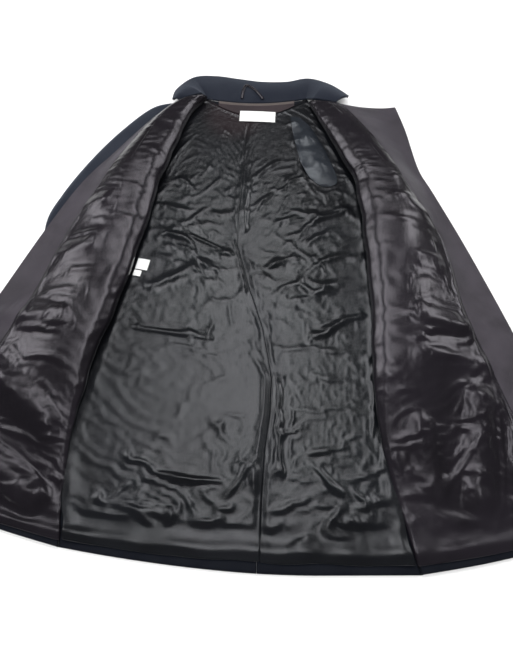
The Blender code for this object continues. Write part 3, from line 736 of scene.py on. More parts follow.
def set_points(mesh, points):
    """Puts the vertices of a new grid on an array of points, row by row."""
    rows, columns = points.shape[:2]
    count = len(mesh.vertices)
    flat = np.zeros(count * 3)
    mesh.vertices.foreach_get("co", flat)
    flat = flat.reshape(-1, 3)
    order = np.lexsort((np.round(flat[:, 0], 5), np.round(flat[:, 1], 5)))
    placed = np.zeros((count, 3))
    placed[order] = points.reshape(-1, 3) * MM + PLAN_ORIGIN
    mesh.vertices.foreach_set("co", placed.ravel())
    lengths = np.zeros((rows, columns, 2))
    lengths[:, 1:, 0] = np.cumsum(np.linalg.norm(np.diff(points, axis=1), axis=2), 1)
    lengths[1:, :, 1] = np.cumsum(np.linalg.norm(np.diff(points, axis=0), axis=2), 0)
    by_vertex = np.zeros((count, 2))
    by_vertex[order] = lengths.reshape(-1, 2) * MM
    corners = np.zeros(len(mesh.loops), int)
    mesh.loops.foreach_get("vertex_index", corners)
    mesh.uv_layers[0].data.foreach_set("uv", by_vertex[corners].ravel())
    return order


def grid_object(name, points):
    """A smooth grid on an array of points, and the place of each point among its vertices."""
    rows, columns = points.shape[:2]
    shape = bmesh.new()
    shape.loops.layers.uv.new("Cloth")
    bmesh.ops.create_grid(shape, x_segments=columns - 1, y_segments=rows - 1, size=1.0,
                          calc_uvs=True)
    mesh = bpy.data.meshes.new(name)
    shape.to_mesh(mesh)
    shape.free()
    order = set_points(mesh, points)
    mesh.update()
    if sum(face.normal.z for face in mesh.polygons) < 0:
        mesh.flip_normals()
    mesh.shade_smooth()
    piece = bpy.data.objects.new(name, mesh)
    bpy.context.scene.collection.objects.link(piece)
    return piece, order


def settled(points, ground, held):
    """The cloth after it has grown a little between its held seams and sunk onto what is below."""
    piece, order = grid_object("loose_cloth", points)
    below, _ = grid_object("ground", ground[::GROUND_STEP, ::GROUND_STEP])
    below.modifiers.new("Ground", "COLLISION")
    below.collision.thickness_outer = SETTLE_SPACE
    below.collision.cloth_friction = 12.0
    pinned = piece.vertex_groups.new(name="held")
    for place in np.flatnonzero(held.ravel()):
        pinned.add([int(order[place])], 1.0, "REPLACE")
    loose = piece.modifiers.new("Settle", "CLOTH")
    rules = loose.settings
    rules.quality = 4
    rules.mass = 0.12
    rules.tension_stiffness = rules.compression_stiffness = SETTLE_STRETCH
    rules.shear_stiffness = SETTLE_STRETCH / 2
    rules.bending_stiffness = SETTLE_BEND
    rules.air_damping = 2.0
    rules.vertex_group_mass = "held"
    rules.shrink_min = -SETTLE_GROWTH
    loose.collision_settings.distance_min = SETTLE_SPACE
    loose.collision_settings.use_self_collision = False
    loose.point_cache.frame_start, loose.point_cache.frame_end = 1, SETTLE_FRAMES
    for step in range(1, SETTLE_FRAMES + 1):
        bpy.context.scene.frame_set(step)
    shown = piece.evaluated_get(bpy.context.evaluated_depsgraph_get())
    flat = np.zeros(len(piece.data.vertices) * 3)
    shown.data.vertices.foreach_get("co", flat)
    result = (flat.reshape(-1, 3)[order] - PLAN_ORIGIN) / MM
    for spent in (piece.data, below.data):
        bpy.data.meshes.remove(spent)
    bpy.context.scene.frame_set(1)
    result = result.reshape(points.shape)
    move = result - points
    far = np.linalg.norm(move, axis=2, keepdims=True)
    return points + move * np.minimum(1, SETTLE_CAP / np.maximum(far, 1e-6))


def cloth(name, points, thickness, finish, replaces, smooth=False):
    """A thin closed shell of cloth on an array of points."""
    piece, _ = grid_object(name, points)
    piece.data.materials.append(finish)
    if smooth:
        finer = piece.modifiers.new("Finer", "SUBSURF")
        finer.levels = finer.render_levels = 1
    wall = piece.modifiers.new("Thickness", "SOLIDIFY")
    wall.thickness = thickness * MM
    wall.offset = 0.0
    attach(piece, "root")
    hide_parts(replaces)


def node(tree, kind, at, **values):
    """A shader node at a place of the editor's grid, with its settings and socket values."""
    made = tree.nodes.new(kind)
    made.location = (at[0] * 220, at[1] * 200)
    for key, value in values.items():
        if hasattr(made, key):
            setattr(made, key, value)
        else:
            made.inputs[key.replace("_", " ")].default_value = value
    return made


def wire(tree, *pairs):
    """Links pairs of an output and an input."""
    for source, target in pairs:
        tree.links.new(source, target)


def shader_group(name, inputs, outputs):
    """An empty node group with named sockets. Inputs are name, kind and value."""
    tree = bpy.data.node_groups.new(name, "ShaderNodeTree")
    for label, kind, value in inputs:
        socket = tree.interface.new_socket(label, in_out="INPUT", socket_type=kind)
        if value is not None:
            socket.default_value = value
    for label, kind in outputs:
        tree.interface.new_socket(label, in_out="OUTPUT", socket_type=kind)
    return tree, node(tree, "NodeGroupInput", (-4, 0)), node(tree, "NodeGroupOutput", (4, 0))


def weave_group():
    """Crossing threads: the height of the cloth's surface and a mask of the threads' gaps."""
    tree, given, result = shader_group(
        "Crossing threads",
        (("Vector", "NodeSocketVector", None), ("Threads", "NodeSocketFloat", 1200.0),
         ("Slant", "NodeSocketFloat", 0.0)),
        (("Height", "NodeSocketFloat"), ("Gaps", "NodeSocketFloat")))
    scale = node(tree, "ShaderNodeVectorMath", (-3, 0), operation="SCALE")
    turn = node(tree, "ShaderNodeVectorRotate", (-2, 0), rotation_type="Z_AXIS")
    warp = node(tree, "ShaderNodeTexWave", (-1, 1), wave_type="BANDS", bands_direction="X",
                Scale=1.0, Distortion=0.6)
    weft = node(tree, "ShaderNodeTexWave", (-1, -1), wave_type="BANDS", bands_direction="Y",
                Scale=1.0, Distortion=0.6)
    both = node(tree, "ShaderNodeMath", (1, 0), operation="MULTIPLY")
    gaps = node(tree, "ShaderNodeMath", (2, -1), operation="LESS_THAN")
    gaps.inputs[1].default_value = 0.12
    wire(tree, (given.outputs["Vector"], scale.inputs[0]),
         (given.outputs["Threads"], scale.inputs["Scale"]),
         (scale.outputs[0], turn.inputs["Vector"]), (given.outputs["Slant"], turn.inputs["Angle"]),
         (turn.outputs[0], warp.inputs["Vector"]), (turn.outputs[0], weft.inputs["Vector"]),
         (warp.outputs["Fac"], both.inputs[0]), (weft.outputs["Fac"], both.inputs[1]),
         (both.outputs[0], result.inputs["Height"]), (both.outputs[0], gaps.inputs[0]),
         (gaps.outputs[0], result.inputs["Gaps"]))
    return tree


def patches_group():
    """Uneven patches over a cloth: large and small ones, from 0 to 1."""
    tree, given, result = shader_group(
        "Uneven patches",
        (("Vector", "NodeSocketVector", None), ("Size", "NodeSocketFloat", 8.0),
         ("Low", "NodeSocketFloat", 0.35), ("High", "NodeSocketFloat", 0.7)),
        (("Mask", "NodeSocketFloat"), ("Fine", "NodeSocketFloat")))
    wide = node(tree, "ShaderNodeTexNoise", (-2, 1), Detail=4.0, Roughness=0.55, Distortion=0.4)
    fine = node(tree, "ShaderNodeTexNoise", (-2, -1), Scale=420.0, Detail=3.0, Roughness=0.6)
    stretch = node(tree, "ShaderNodeMapRange", (0, 1), interpolation_type="SMOOTHSTEP")
    wire(tree, (given.outputs["Vector"], wide.inputs["Vector"]),
         (given.outputs["Size"], wide.inputs["Scale"]),
         (given.outputs["Vector"], fine.inputs["Vector"]),
         (wide.outputs["Fac"], stretch.inputs["Value"]),
         (given.outputs["Low"], stretch.inputs["From Min"]),
         (given.outputs["High"], stretch.inputs["From Max"]),
         (stretch.outputs[0], result.inputs["Mask"]), (fine.outputs["Fac"], result.inputs["Fine"]))
    return tree


def nap_group():
    """Short felted hair: its height, and pale lint on it."""
    tree, given, result = shader_group(
        "Felted nap",
        (("Vector", "NodeSocketVector", None), ("Hair", "NodeSocketFloat", 900.0)),
        (("Height", "NodeSocketFloat"), ("Lint", "NodeSocketFloat")))
    hair = node(tree, "ShaderNodeTexNoise", (-2, 1), Detail=6.0, Roughness=0.7, Distortion=1.2)
    lint = node(tree, "ShaderNodeTexVoronoi", (-2, -1), Scale=260.0, Randomness=1.0)
    spots = node(tree, "ShaderNodeMapRange", (0, -1), From_Min=0.10, From_Max=0.04)
    wire(tree, (given.outputs["Vector"], hair.inputs["Vector"]),
         (given.outputs["Hair"], hair.inputs["Scale"]),
         (given.outputs["Vector"], lint.inputs["Vector"]),
         (hair.outputs["Fac"], result.inputs["Height"]),
         (lint.outputs["Distance"], spots.inputs["Value"]),
         (spots.outputs[0], result.inputs["Lint"]))
    return tree


def group(tree, name, at, **values):
    """A use of one of the node groups, with its socket values."""
    made = node(tree, "ShaderNodeGroup", at)
    made.node_tree = bpy.data.node_groups[name]
    for key, value in values.items():
        made.inputs[key].default_value = value
    return made


def new_material(name):
    finish = bpy.data.materials.new(name)
    finish.use_nodes = True
    tree = finish.node_tree
    return finish, tree, tree.nodes["Principled BSDF"]


def mixed(tree, at, mask, first, second):
    """A colour that goes from the first to the second where the mask goes from 0 to 1."""
    mix = node(tree, "ShaderNodeMix", at, data_type="RGBA")
    mix.inputs["A"].default_value = (*first, 1)
    mix.inputs["B"].default_value = (*second, 1)
    tree.links.new(mask, mix.inputs["Factor"])
    return mix.outputs["Result"]


def set_inputs(shader, **values):
    for key, value in values.items():
        shader.inputs[key.replace("_", " ")].default_value = value


def near_point(tree, at, where, centre, inner, outer):
    """A mask that is 1 near a point of the plan and fades to 0."""
    away = node(tree, "ShaderNodeVectorMath", at, operation="DISTANCE")
    away.inputs[1].default_value = Vector(centre) * MM + Vector(PLAN_ORIGIN)
    fade = node(tree, "ShaderNodeMapRange", (at[0] + 1, at[1]), interpolation_type="SMOOTHSTEP",
                From_Min=outer * MM, From_Max=inner * MM)
    wire(tree, (where, away.inputs[0]), (away.outputs["Value"], fade.inputs["Value"]))
    return fade.outputs[0]


def woven_cloth(name, dark, light, weave, patches, gloss, bump):
    """A woven cloth: uneven colour and shine, and threads that follow the cloth's own lengths.

    weave is threads to a metre and slant, patches are size, low and high, and gloss is the range of
    roughness.
    """
    _, tree, shader = new_material(name)
    place = node(tree, "ShaderNodeUVMap", (-6, 0), uv_map="Cloth")
    where = node(tree, "ShaderNodeTexCoord", (-6, 2))
    threads = group(tree, "Crossing threads", (-4, -1), Threads=weave[0], Slant=weave[1])
    uneven = group(tree, "Uneven patches", (-4, 2), Size=patches[0], Low=patches[1],
                   High=patches[2])
    colour = mixed(tree, (-2, 2), uneven.outputs["Mask"], dark, light)
    shine = node(tree, "ShaderNodeMapRange", (-2, 0), To_Min=gloss[0], To_Max=gloss[1])
    relief = node(tree, "ShaderNodeBump", (-2, -2), Strength=bump[0], Distance=bump[1])
    wire(tree, (place.outputs[0], threads.inputs["Vector"]),
         (where.outputs["Object"], uneven.inputs["Vector"]),
         (colour, shader.inputs["Base Color"]),
         (uneven.outputs["Fine"], shine.inputs["Value"]),
         (shine.outputs[0], shader.inputs["Roughness"]),
         (threads.outputs["Height"], relief.inputs["Height"]),
         (relief.outputs[0], shader.inputs["Normal"]))
    return tree, shader


def coloured_over(tree, shader, mask, colour):
    """Lays a colour over the cloth's own one where the mask is 1."""
    under = shader.inputs["Base Color"].links[0].from_socket
    blend = node(tree, "ShaderNodeMix", (-1, 4), data_type="RGBA")
    blend.inputs["B"].default_value = (*colour, 1)
    wire(tree, (mask, blend.inputs["Factor"]), (under, blend.inputs["A"]),
         (blend.outputs["Result"], shader.inputs["Base Color"]))


def satin(name, dark, light, patch_size, shine):
    """Satin with a tinted shine."""
    tree, shader = woven_cloth(name, dark, light, (2600.0, 0.35), (patch_size, 0.36, 0.66),
                               (0.20, 0.28), (0.12, 0.0002))
    set_inputs(shader, Specular_IOR_Level=0.5, Specular_Tint=(*shine, 1), Anisotropic=0.4,
               Sheen_Weight=0.015, Sheen_Roughness=0.35, Sheen_Tint=(0.75, 0.78, 0.85, 1))
    return tree, shader


def glowing_satin(name, dark, light, patch_size, shine, warm):
    """Satin that takes a warmer colour from the facing beside the neck label."""
    tree, shader = satin(name, dark, light, patch_size, shine)
    where = node(tree, "ShaderNodeTexCoord", (-6, 4))
    mask = near_point(tree, (-4, 4), where.outputs["Object"], NECK_GLOW, NECK_GLOW_INNER,
                      NECK_GLOW_OUTER)
    coloured_over(tree, shader, mask, warm)


def plain_cloth(name, dark, light, threads, roughness, sheen, tint):
    """Matt cloth with a plain weave."""
    tree, shader = woven_cloth(name, dark, light, (threads, 0.0), (14.0, 0.34, 0.68),
                               (roughness - 0.05, roughness + 0.05), (0.3, 0.0003))
    set_inputs(shader, Specular_IOR_Level=0.3, Sheen_Weight=sheen, Sheen_Roughness=0.5,
               Sheen_Tint=(*tint, 1))
    return tree, shader


def neck_cloth(name, plain, strip):
    """The facing of the back neck, with a paler strip along the collar's curved seam."""
    tree, shader = plain_cloth(name, plain, tuple(c * 1.25 for c in plain), 1900.0, 0.55, 0.07,
                               (0.8, 0.72, 0.74))
    where = node(tree, "ShaderNodeTexCoord", (-9, 5))
    parts = node(tree, "ShaderNodeSeparateXYZ", (-8, 5))
    across = node(tree, "ShaderNodeMath", (-7, 5), operation="SUBTRACT")
    across.inputs[1].default_value = float(PLAN_ORIGIN[0])
    square = node(tree, "ShaderNodeMath", (-6, 5), operation="MULTIPLY")
    rise = node(tree, "ShaderNodeMath", (-5, 5), operation="MULTIPLY")
    rise.inputs[1].default_value = NECK_RISE / NECK_HALF ** 2 / MM
    depth = node(tree, "ShaderNodeMath", (-4, 5), operation="SUBTRACT")
    edge = NECK_Y * MM + float(PLAN_ORIGIN[1])
    band = node(tree, "ShaderNodeMapRange", (-3, 5), interpolation_type="SMOOTHSTEP",
                From_Min=edge - (NECK_STRIP + 1) * MM, From_Max=edge - NECK_STRIP * MM)
    wire(tree, (where.outputs["Object"], parts.inputs[0]), (parts.outputs["X"], across.inputs[0]),
         (across.outputs[0], square.inputs[0]), (across.outputs[0], square.inputs[1]),
         (square.outputs[0], rise.inputs[0]), (parts.outputs["Y"], depth.inputs[0]),
         (rise.outputs[0], depth.inputs[1]), (depth.outputs[0], band.inputs["Value"]))
    coloured_over(tree, shader, band.outputs[0], strip)


def wool_cloth(name, dark, light, sheen):
    """Felted wool with short hair and a little pale lint."""
    _, tree, shader = new_material(name)
    where = node(tree, "ShaderNodeTexCoord", (-6, 1))
    nap = group(tree, "Felted nap", (-4, -1), Hair=1100.0)
    patches = group(tree, "Uneven patches", (-4, 2), Size=22.0, Low=0.32, High=0.7)
    colour = mixed(tree, (-2, 2), patches.outputs["Mask"], dark, light)
    fleck = node(tree, "ShaderNodeMix", (-1, 2), data_type="RGBA", blend_type="ADD")
    fleck.inputs["B"].default_value = (0.5, 0.5, 0.55, 1)
    faint = node(tree, "ShaderNodeMath", (-2, 0), operation="MULTIPLY")
    faint.inputs[1].default_value = 0.05
    bump = node(tree, "ShaderNodeBump", (-2, -2), Strength=0.5, Distance=0.0006)
    wire(tree, (where.outputs["Object"], nap.inputs["Vector"]),
         (where.outputs["Object"], patches.inputs["Vector"]),
         (nap.outputs["Lint"], faint.inputs[0]), (faint.outputs[0], fleck.inputs["Factor"]),
         (colour, fleck.inputs["A"]), (fleck.outputs["Result"], shader.inputs["Base Color"]),
         (nap.outputs["Height"], bump.inputs["Height"]), (bump.outputs[0], shader.inputs["Normal"]))
    set_inputs(shader, Roughness=0.92, Specular_IOR_Level=0.25, Sheen_Weight=sheen,
               Sheen_Roughness=0.6, Sheen_Tint=(0.62, 0.70, 0.85, 1))


class JacketSizes(bpy.types.PropertyGroup):
    """Sizes that a user would change."""
    wool: bpy.props.FloatProperty(
        name="Wool", description="Thickness of the wool cloth", default=0.0018,
        min=0.0005, unit="LENGTH", subtype="DISTANCE")
    lining: bpy.props.FloatProperty(
        name="Lining", description="Thickness of the satin and facing cloth", default=0.0006,
        min=0.0002, unit="LENGTH", subtype="DISTANCE")
    label: bpy.props.FloatProperty(
        name="Label", description="Thickness of the label tape", default=0.0005,
        min=0.0002, unit="LENGTH", subtype="DISTANCE")
    creases: bpy.props.FloatProperty(
        name="Creases", description="Depth of the lining's creases as a share", default=0.8,
        min=0.0, max=1.5, subtype="FACTOR")
    rows: bpy.props.IntProperty(
        name="Rows", description="Rows of the lining from neck to hem", default=170, min=60)


def colour_setting(name, description, default):
    return bpy.props.FloatVectorProperty(name=name, description=description, default=default,
                                         min=0.0, max=1.0, subtype="COLOR")


class JacketColours(bpy.types.PropertyGroup):
    """Colours that a user would change."""
    wool: colour_setting("Wool", "Deep colour of the wool", (0.0072, 0.0092, 0.0165))
    wool_light: colour_setting("Brushed wool", "Colour of the wool where it is brushed up",
                               (0.0115, 0.014, 0.022))
    back_lining: colour_setting("Back lining", "Colour of the satin of the back",
                                (0.0040, 0.0044, 0.0056))
    sleeve_lining: colour_setting("Sleeve lining", "Colour of the satin of the sleeve",
                                  (0.013, 0.0155, 0.020))
    front_lining: colour_setting("Front lining", "Colour of the satin of the fronts",
                                 (0.0074, 0.0062, 0.0084))
    facing: colour_setting("Facing", "Colour of the facings", (0.037, 0.032, 0.040))
    neck: colour_setting("Neck", "Colour of the cloth at the back neck", (0.024, 0.0165, 0.019))
    neck_strip: colour_setting("Neck strip", "Colour of the strip under the collar",
                               (0.085, 0.070, 0.066))
    label: colour_setting("Label", "Colour of the label tape", (0.92, 0.92, 0.91))
    floor: colour_setting("Floor", "Colour of the floor", (0.96, 0.96, 0.96))


def sizes():
    return bpy.context.scene.jacket_sizes


def colours():
    return bpy.context.scene.jacket_colours


def scaled(colour, share):
    return tuple(channel * share for channel in colour)


def finish(name):
    return bpy.data.materials[name]


def wool_mm():
    return sizes().wool / MM


def lining_mm():
    return sizes().lining / MM


def lining_shares(last=1.0):
    return np.linspace(0, last, sizes().rows)


def hem_shares():
    return np.linspace(1 - LAST_ROW, 1, 9)


class JACKET_OT_finishes(bpy.types.Operator):
    """Make the node groups and the materials of the cloths and the labels"""
    bl_idname = "jacket.finishes"
    bl_label = "Finishes"

    def execute(self, context):
        weave_group()
        patches_group()
        nap_group()
        tint = colours()
        wool_cloth("brushed_wool", scaled(tint.wool, 1.0), scaled(tint.wool_light, 1.0), 0.16)
        # Painted shade: a darker copy of the wool, at 0.4 of its colour and with little sheen, for
        # the wool of the fronts, the backs and the turned hems, so that the band along the hem
        # looks shaded.
        wool_cloth("wool_in_painted_shade", scaled(tint.wool, 0.4), scaled(tint.wool_light, 0.4), 0.02)
        glowing_satin("back_satin", scaled(tint.back_lining, 0.75), scaled(tint.back_lining, 1.35),
                      7.0, (0.94, 0.96, 1.0), scaled(tint.neck, 0.6))
        satin("sleeve_satin", scaled(tint.sleeve_lining, 0.85), scaled(tint.sleeve_lining, 1.2),
              12.0, (0.9, 0.95, 1.0))
        satin("front_satin", scaled(tint.front_lining, 0.75), scaled(tint.front_lining, 1.35),
              6.0, (0.96, 0.92, 1.0))
        plain_cloth("facing_weave", scaled(tint.facing, 0.8), scaled(tint.facing, 1.25), 1900.0,
                    0.5, 0.05, (0.72, 0.70, 0.9))
        plain_cloth("label_tape", scaled(tint.label, 0.93), scaled(tint.label, 1.0), 2400.0,
                    0.62, 0.1, (1, 1, 1))
        neck_cloth("neck_cloth", scaled(tint.neck, 1.0), scaled(tint.neck_strip, 1.0))
        return {"FINISHED"}


def hem_bulge(shares, height, x=0.0):
    """The lining's soft roll over the turned up hem, fuller in some places than in others."""
    up = ease((shares - (1 - 1.5 * LAST_ROW)) / (0.7 * LAST_ROW))
    roll = np.exp(-((shares - (LINING_END - 0.45 * LAST_ROW)) / (0.3 * LAST_ROW)) ** 2)
    x = np.atleast_1d(x)
    fuller = 1 + 0.9 * unevenness(x, 0 * x, 46, 4.2)
    return HEM_LIFT * up[:, None] + height * roll[:, None] * fuller


def hem_wave(shares, x):
    """How far the lining's lower edge lies above or below its line."""
    reach = ease((shares - HEM_CURVE_FROM) / LAST_ROW)[:, None]
    return HEM_WAVE * reach * unevenness(x, 0 * x, 60, 8.8)


def held_at_seams(points, inner):
    """Marks the rows and columns that the seams hold, with so many columns on the inner side."""
    held = np.zeros(points.shape[:2], bool)
    held[:HELD_AT_TOP] = held[-HELD_AT_HEM:] = True
    held[:, :inner] = held[:, -HELD_AT_SIDE:] = True
    return held


class JACKET_OT_fronts(bpy.types.Operator):
    """Build both wool fronts with their turned up hems, linings and facings"""
    bl_idname = "jacket.fronts"
    bl_label = "Fronts"

    def execute(self, context):
        for side in SIDES:
            self.wool(side)
            self.hem(side)
            self.lining(side)
            self.facing(side)
        return {"FINISHED"}

    def wool(self, side):
        points = front_surface(side, np.linspace(0, 1, 130), 34, 16, 16)[0]
        cloth("wool_front_" + side, points, wool_mm(), finish("wool_in_painted_shade"),
              "front_" + side)

    def hem(self, side):
        points, crest, turn = front_surface(side, hem_shares(), 60, 6)
        points = moved_out(points, HEM_LIFT)[:, crest:turn + 1]
        points = drawn_in(drawn_in(points, -1, SEAM_GAP / 2), 0, HEM_END)
        cloth("turned_hem_" + side, points, wool_mm(), finish("wool_in_painted_shade"),
              "hem_" + side)

    def lining(self, side):
        shares = lining_shares(LINING_END)
        base, crest, turn = front_surface(side, shares, 44, 6, 16)
        base = base[:, :turn + 1]
        x, y = base[..., 0], base[..., 1]
        columns = np.arange(turn + 1)[None, :]
        off_roll = ease((columns - crest * 0.5) / (crest * 0.9))
        off_seam = ease((turn - columns) / 5)
        ends = ease((1 - shares / 0.93) / 0.06 + 1)[:, None] * ease(shares / 0.02)[:, None]
        free = off_roll * off_seam * ends
        small = (crumple(x, y, 52, CRUMPLE_SEED[side]) * 1.2 + unevenness(x, y, 26, 2.2) * 1.3
                 + unevenness(x, y, 75, 4.4) * 1.8)
        lift = settle((crease_height(CREASES[side], x, y) + small) * free, sizes().creases)
        pleat = 0.7 * np.exp(-((turn - columns - 4) / 2.5) ** 2) * ends
        over = hem_bulge(shares, HEM_ROLL_HEIGHT, x[-1]) * ease((columns - crest + 6) / 8)
        points = moved_out(base, LINING_LIFT + LOOSE * free + pleat + over + lift)
        ground = moved_out(base, LINING_LIFT - GROUND_BELOW + over * 0.8)
        points = settled(points, ground, held_at_seams(points, crest - 2))
        points = drawn_in(points, -1, SEAM_GAP / 2)
        points[:, 0] = points[:, 0] + (points[:, 3] - points[:, 0]) * 0.8
        cloth("satin_front_" + side, points[:, [0] + list(range(3, turn + 1))], lining_mm(),
              finish("front_satin"),
              "lining_" + side, smooth=True)

    def facing(self, side):
        points, _, turn = front_surface(side, lining_shares(), 60, 30)
        strip = points[:, turn:]
        x, y = strip[..., 0], strip[..., 1]
        columns = np.arange(strip.shape[1])[None, :]
        inside = ease(columns / 4) * ease((strip.shape[1] - 1 - columns) / 5)
        creases = crease_height(CREASES[side], x, y) * 0.45
        small = unevenness(x, y, 34, 6.1) * 1.1 + unevenness(x, y, 13, 8.4, 2.5) * 0.45
        lift = settle((creases + small) * inside, sizes().creases) + 0.5 * inside
        strip = moved_out(points, LINING_LIFT)[:, turn:] + normals(strip) * lift[..., None]
        strip = drawn_in(drawn_in(strip, 0, SEAM_GAP / 2), -1, FACING_EDGE_IN)
        cloth("facing_cloth_" + side, strip, lining_mm(), finish("facing_weave"),
              "facing_" + side)


class JACKET_OT_backs(bpy.types.Operator):
    """Build both backs with their turned up hems, linings, the neck facing and the sleeve lining"""
    bl_idname = "jacket.backs"
    bl_label = "Backs"

    def execute(self, context):
        for side in SIDES:
            self.wool(side)
            self.hem(side)
            self.lining(side)
        self.neck_facing()
        self.armhole()
        return {"FINISHED"}

    def wool(self, side):
        points = back_surface(side, np.linspace(0, 1, 90), lambda y: 0 * y, BACK_CLEAR, 30)
        cloth("wool_back_" + side, points, wool_mm(), finish("wool_in_painted_shade"),
              "back_" + side)

    def hem(self, side):
        points = back_surface(side, hem_shares(), lambda y: 0 * y, BACK_CLEAR, 60)
        points[..., 2] += HEM_LIFT
        cloth("turned_hem_back_" + side, drawn_in(points, -1, HEM_BACK_END), wool_mm(),
              finish("wool_in_painted_shade"), "hem_back_" + side)

    def lining(self, side):
        shares = lining_shares(LINING_END)
        points = back_surface(side, shares, centre_line, BACK_LINING_CLEAR, 54)
        x, y = points[..., 0], points[..., 1]
        fade = (1 - np.clip(shares / 0.08, 0, 1))[:, None]
        y = y - neck_facing_depth(x[0])[None, :] * fade
        z = back_lining_z(x, y, sizes().creases) + hem_bulge(shares, HEM_ROLL_HEIGHT, x[-1])
        y = y + hem_wave(shares, x)
        points = np.stack((x, y, z), 2)
        edge = HEM_ROLL_CLEAR * ease((shares - HEM_CURVE_FROM) / LAST_ROW)
        reach = ease(np.linspace(0, 1, points.shape[1]) * 6 - 5)
        points[..., 0] -= outward(side) * edge[:, None] * reach[None, :]
        ground = points.copy()
        ground[..., 2] = LINING_MID - GROUND_BELOW + hem_bulge(shares, 0.0)
        points = settled(points, ground, held_at_seams(points, 2))
        points[..., 2] = np.maximum(points[..., 2], LINING_MID - 0.3)
        cloth("satin_back_" + side, points, lining_mm(), finish("back_satin"),
              "lining_back_" + side, smooth=True)

    def neck_facing(self):
        across = np.linspace(-1, 1, 70)[None, :] * NECK_FACING_HALF
        low = neck_line(across) - neck_facing_depth(across) - 2.0
        share = np.linspace(0, 1, 18)[:, None]
        y = low + (neck_line(across) - low) * share
        x = across + 0 * share
        z = LINING_MID + 1.0 + unevenness(x, y, 20, 3.9) * 0.5 * np.sin(np.pi * share)
        cloth("neck_facing_cloth", np.stack((x, y, z), 2), lining_mm(), finish("neck_cloth"),
              "neck_facing")

    def armhole(self):
        rows = curve(ARMHOLE, np.linspace(0, 1, 60))
        t = np.linspace(0, 1, 30)[None, :]
        y = rows[:, :1] + 0 * t
        x = rows[:, 1:2] + (rows[:, 2:] - rows[:, 1:2]) * t
        span = ease((ARMHOLE_TOP - y) / 60) * ease((y - ARMHOLE_FOOT) / 60)
        puff = (ARMHOLE_PUFF * np.sin(np.pi * t) + unevenness(x, y, 17, 12.5) * 2.0) * span
        z = np.maximum(back_lining_z(x, y), LINING_MID + LOOSE) + 1.3 + np.maximum(puff, 0)
        cloth("sleeve_lining_right", np.stack((x, y, z), 2), lining_mm(), finish("sleeve_satin"),
              "armhole_lining_right")


def grid_tree(points):
    """The quads of a grid of points, to be hit by a ray."""
    rows, columns = points.shape[:2]
    faces = [(i * columns + j, i * columns + j + 1, (i + 1) * columns + j + 1,
              (i + 1) * columns + j) for i in range(rows - 1) for j in range(columns - 1)]
    return BVHTree.FromPolygons([Vector(point) for point in points.reshape(-1, 3)], faces)


class JACKET_OT_sleeves(bpy.types.Operator):
    """Build the flat sleeves under the fronts"""
    bl_idname = "jacket.sleeves"
    bl_label = "Sleeves"

    def execute(self, context):
        for side in SIDES:
            roof = grid_tree(front_surface(side, np.linspace(0, 1, 80), 20, 10, 14)[0])
            ox, oy, ix, iy, height = curve(SLEEVE[side], np.linspace(0, 1, 70)).T
            sign = outward(side)
            ix = sign * np.maximum(sign * ix, sign * side_at(side, iy) + SLEEVE_SIDE_GAP[side])
            t = np.linspace(0, 1, 26)[None, :]
            x, y = ox[:, None] + (ix - ox)[:, None] * t, oy[:, None] + (iy - oy)[:, None] * t
            base = WOOL_MID + SLEEVE_LIFT
            dome = np.clip(np.sin(np.pi * t), 0, 1) ** 0.6
            level = base + (height[:, None] - WOOL_CAD - base) * dome
            for place in np.ndindex(x.shape):
                above = roof.ray_cast(Vector((x[place], y[place], -1.0)), Vector((0, 0, 1)))[0]
                if above:
                    room = above.z - WOOL_CAD - SLEEVE_ROOF_GAP
                    level[place] = min(level[place], max(base, room))
            floor = np.full_like(x, WOOL_MID)
            cloth("sleeve_cloth_top_" + side, np.stack((x, y, level), 2), wool_mm(),
                  finish("brushed_wool"),
                  "sleeve_top_" + side)
            cloth("sleeve_cloth_under_" + side, np.stack((x, y, floor), 2), wool_mm(),
                  finish("brushed_wool"), "sleeve_under_" + side)
        return {"FINISHED"}


def collar_seam():
    """The line that the collar is sewn to: left front, back neck and right front, in turn."""
    left, crest, turn = front_surface("left", [0.0, 0.02], 14, 6, 14)
    right = front_surface("right", [0.0, 0.02], 14, 12, 14)[0][0]
    on_front = np.array((0.0, COLLAR_FRONT_GAP, COLLAR_LIFT))
    left = left[0][crest:turn + 1][::-1] + on_front
    right = right[crest:]
    right = right[right[:, 0] < COLLAR_END_X] + on_front
    x = np.linspace(-COLLAR_NECK_HALF, COLLAR_NECK_HALF, 19)
    y = neck_line(x) + COLLAR_SEAM_GAP
    middle = np.stack((x, y, np.full_like(x, LINING_MID + COLLAR_LIFT)), 1)
    return np.concatenate((left, middle, right))


def along_line(points, shares):
    """Points at shares from 0 to 1 of the length of a line of points."""
    lengths = np.concatenate(([0], np.cumsum(np.linalg.norm(np.diff(points, axis=0), axis=1))))
    place = np.asarray(shares) * lengths[-1]
    return np.stack([np.interp(place, lengths, points[:, k]) for k in range(3)], -1)


def collar_surface(along, across):
    """The collar's middle at shares along its seam and across it to its free edge."""
    seam = along_line(collar_seam(), along)
    edge = curve(COLLAR_EDGE, along)
    across = np.asarray(across)[:, None, None]
    points = seam[None] * (1 - across) + edge[None] * across
    points[..., 2] += COLLAR_ARCH * np.sin(np.pi * across[..., 0])
    return points


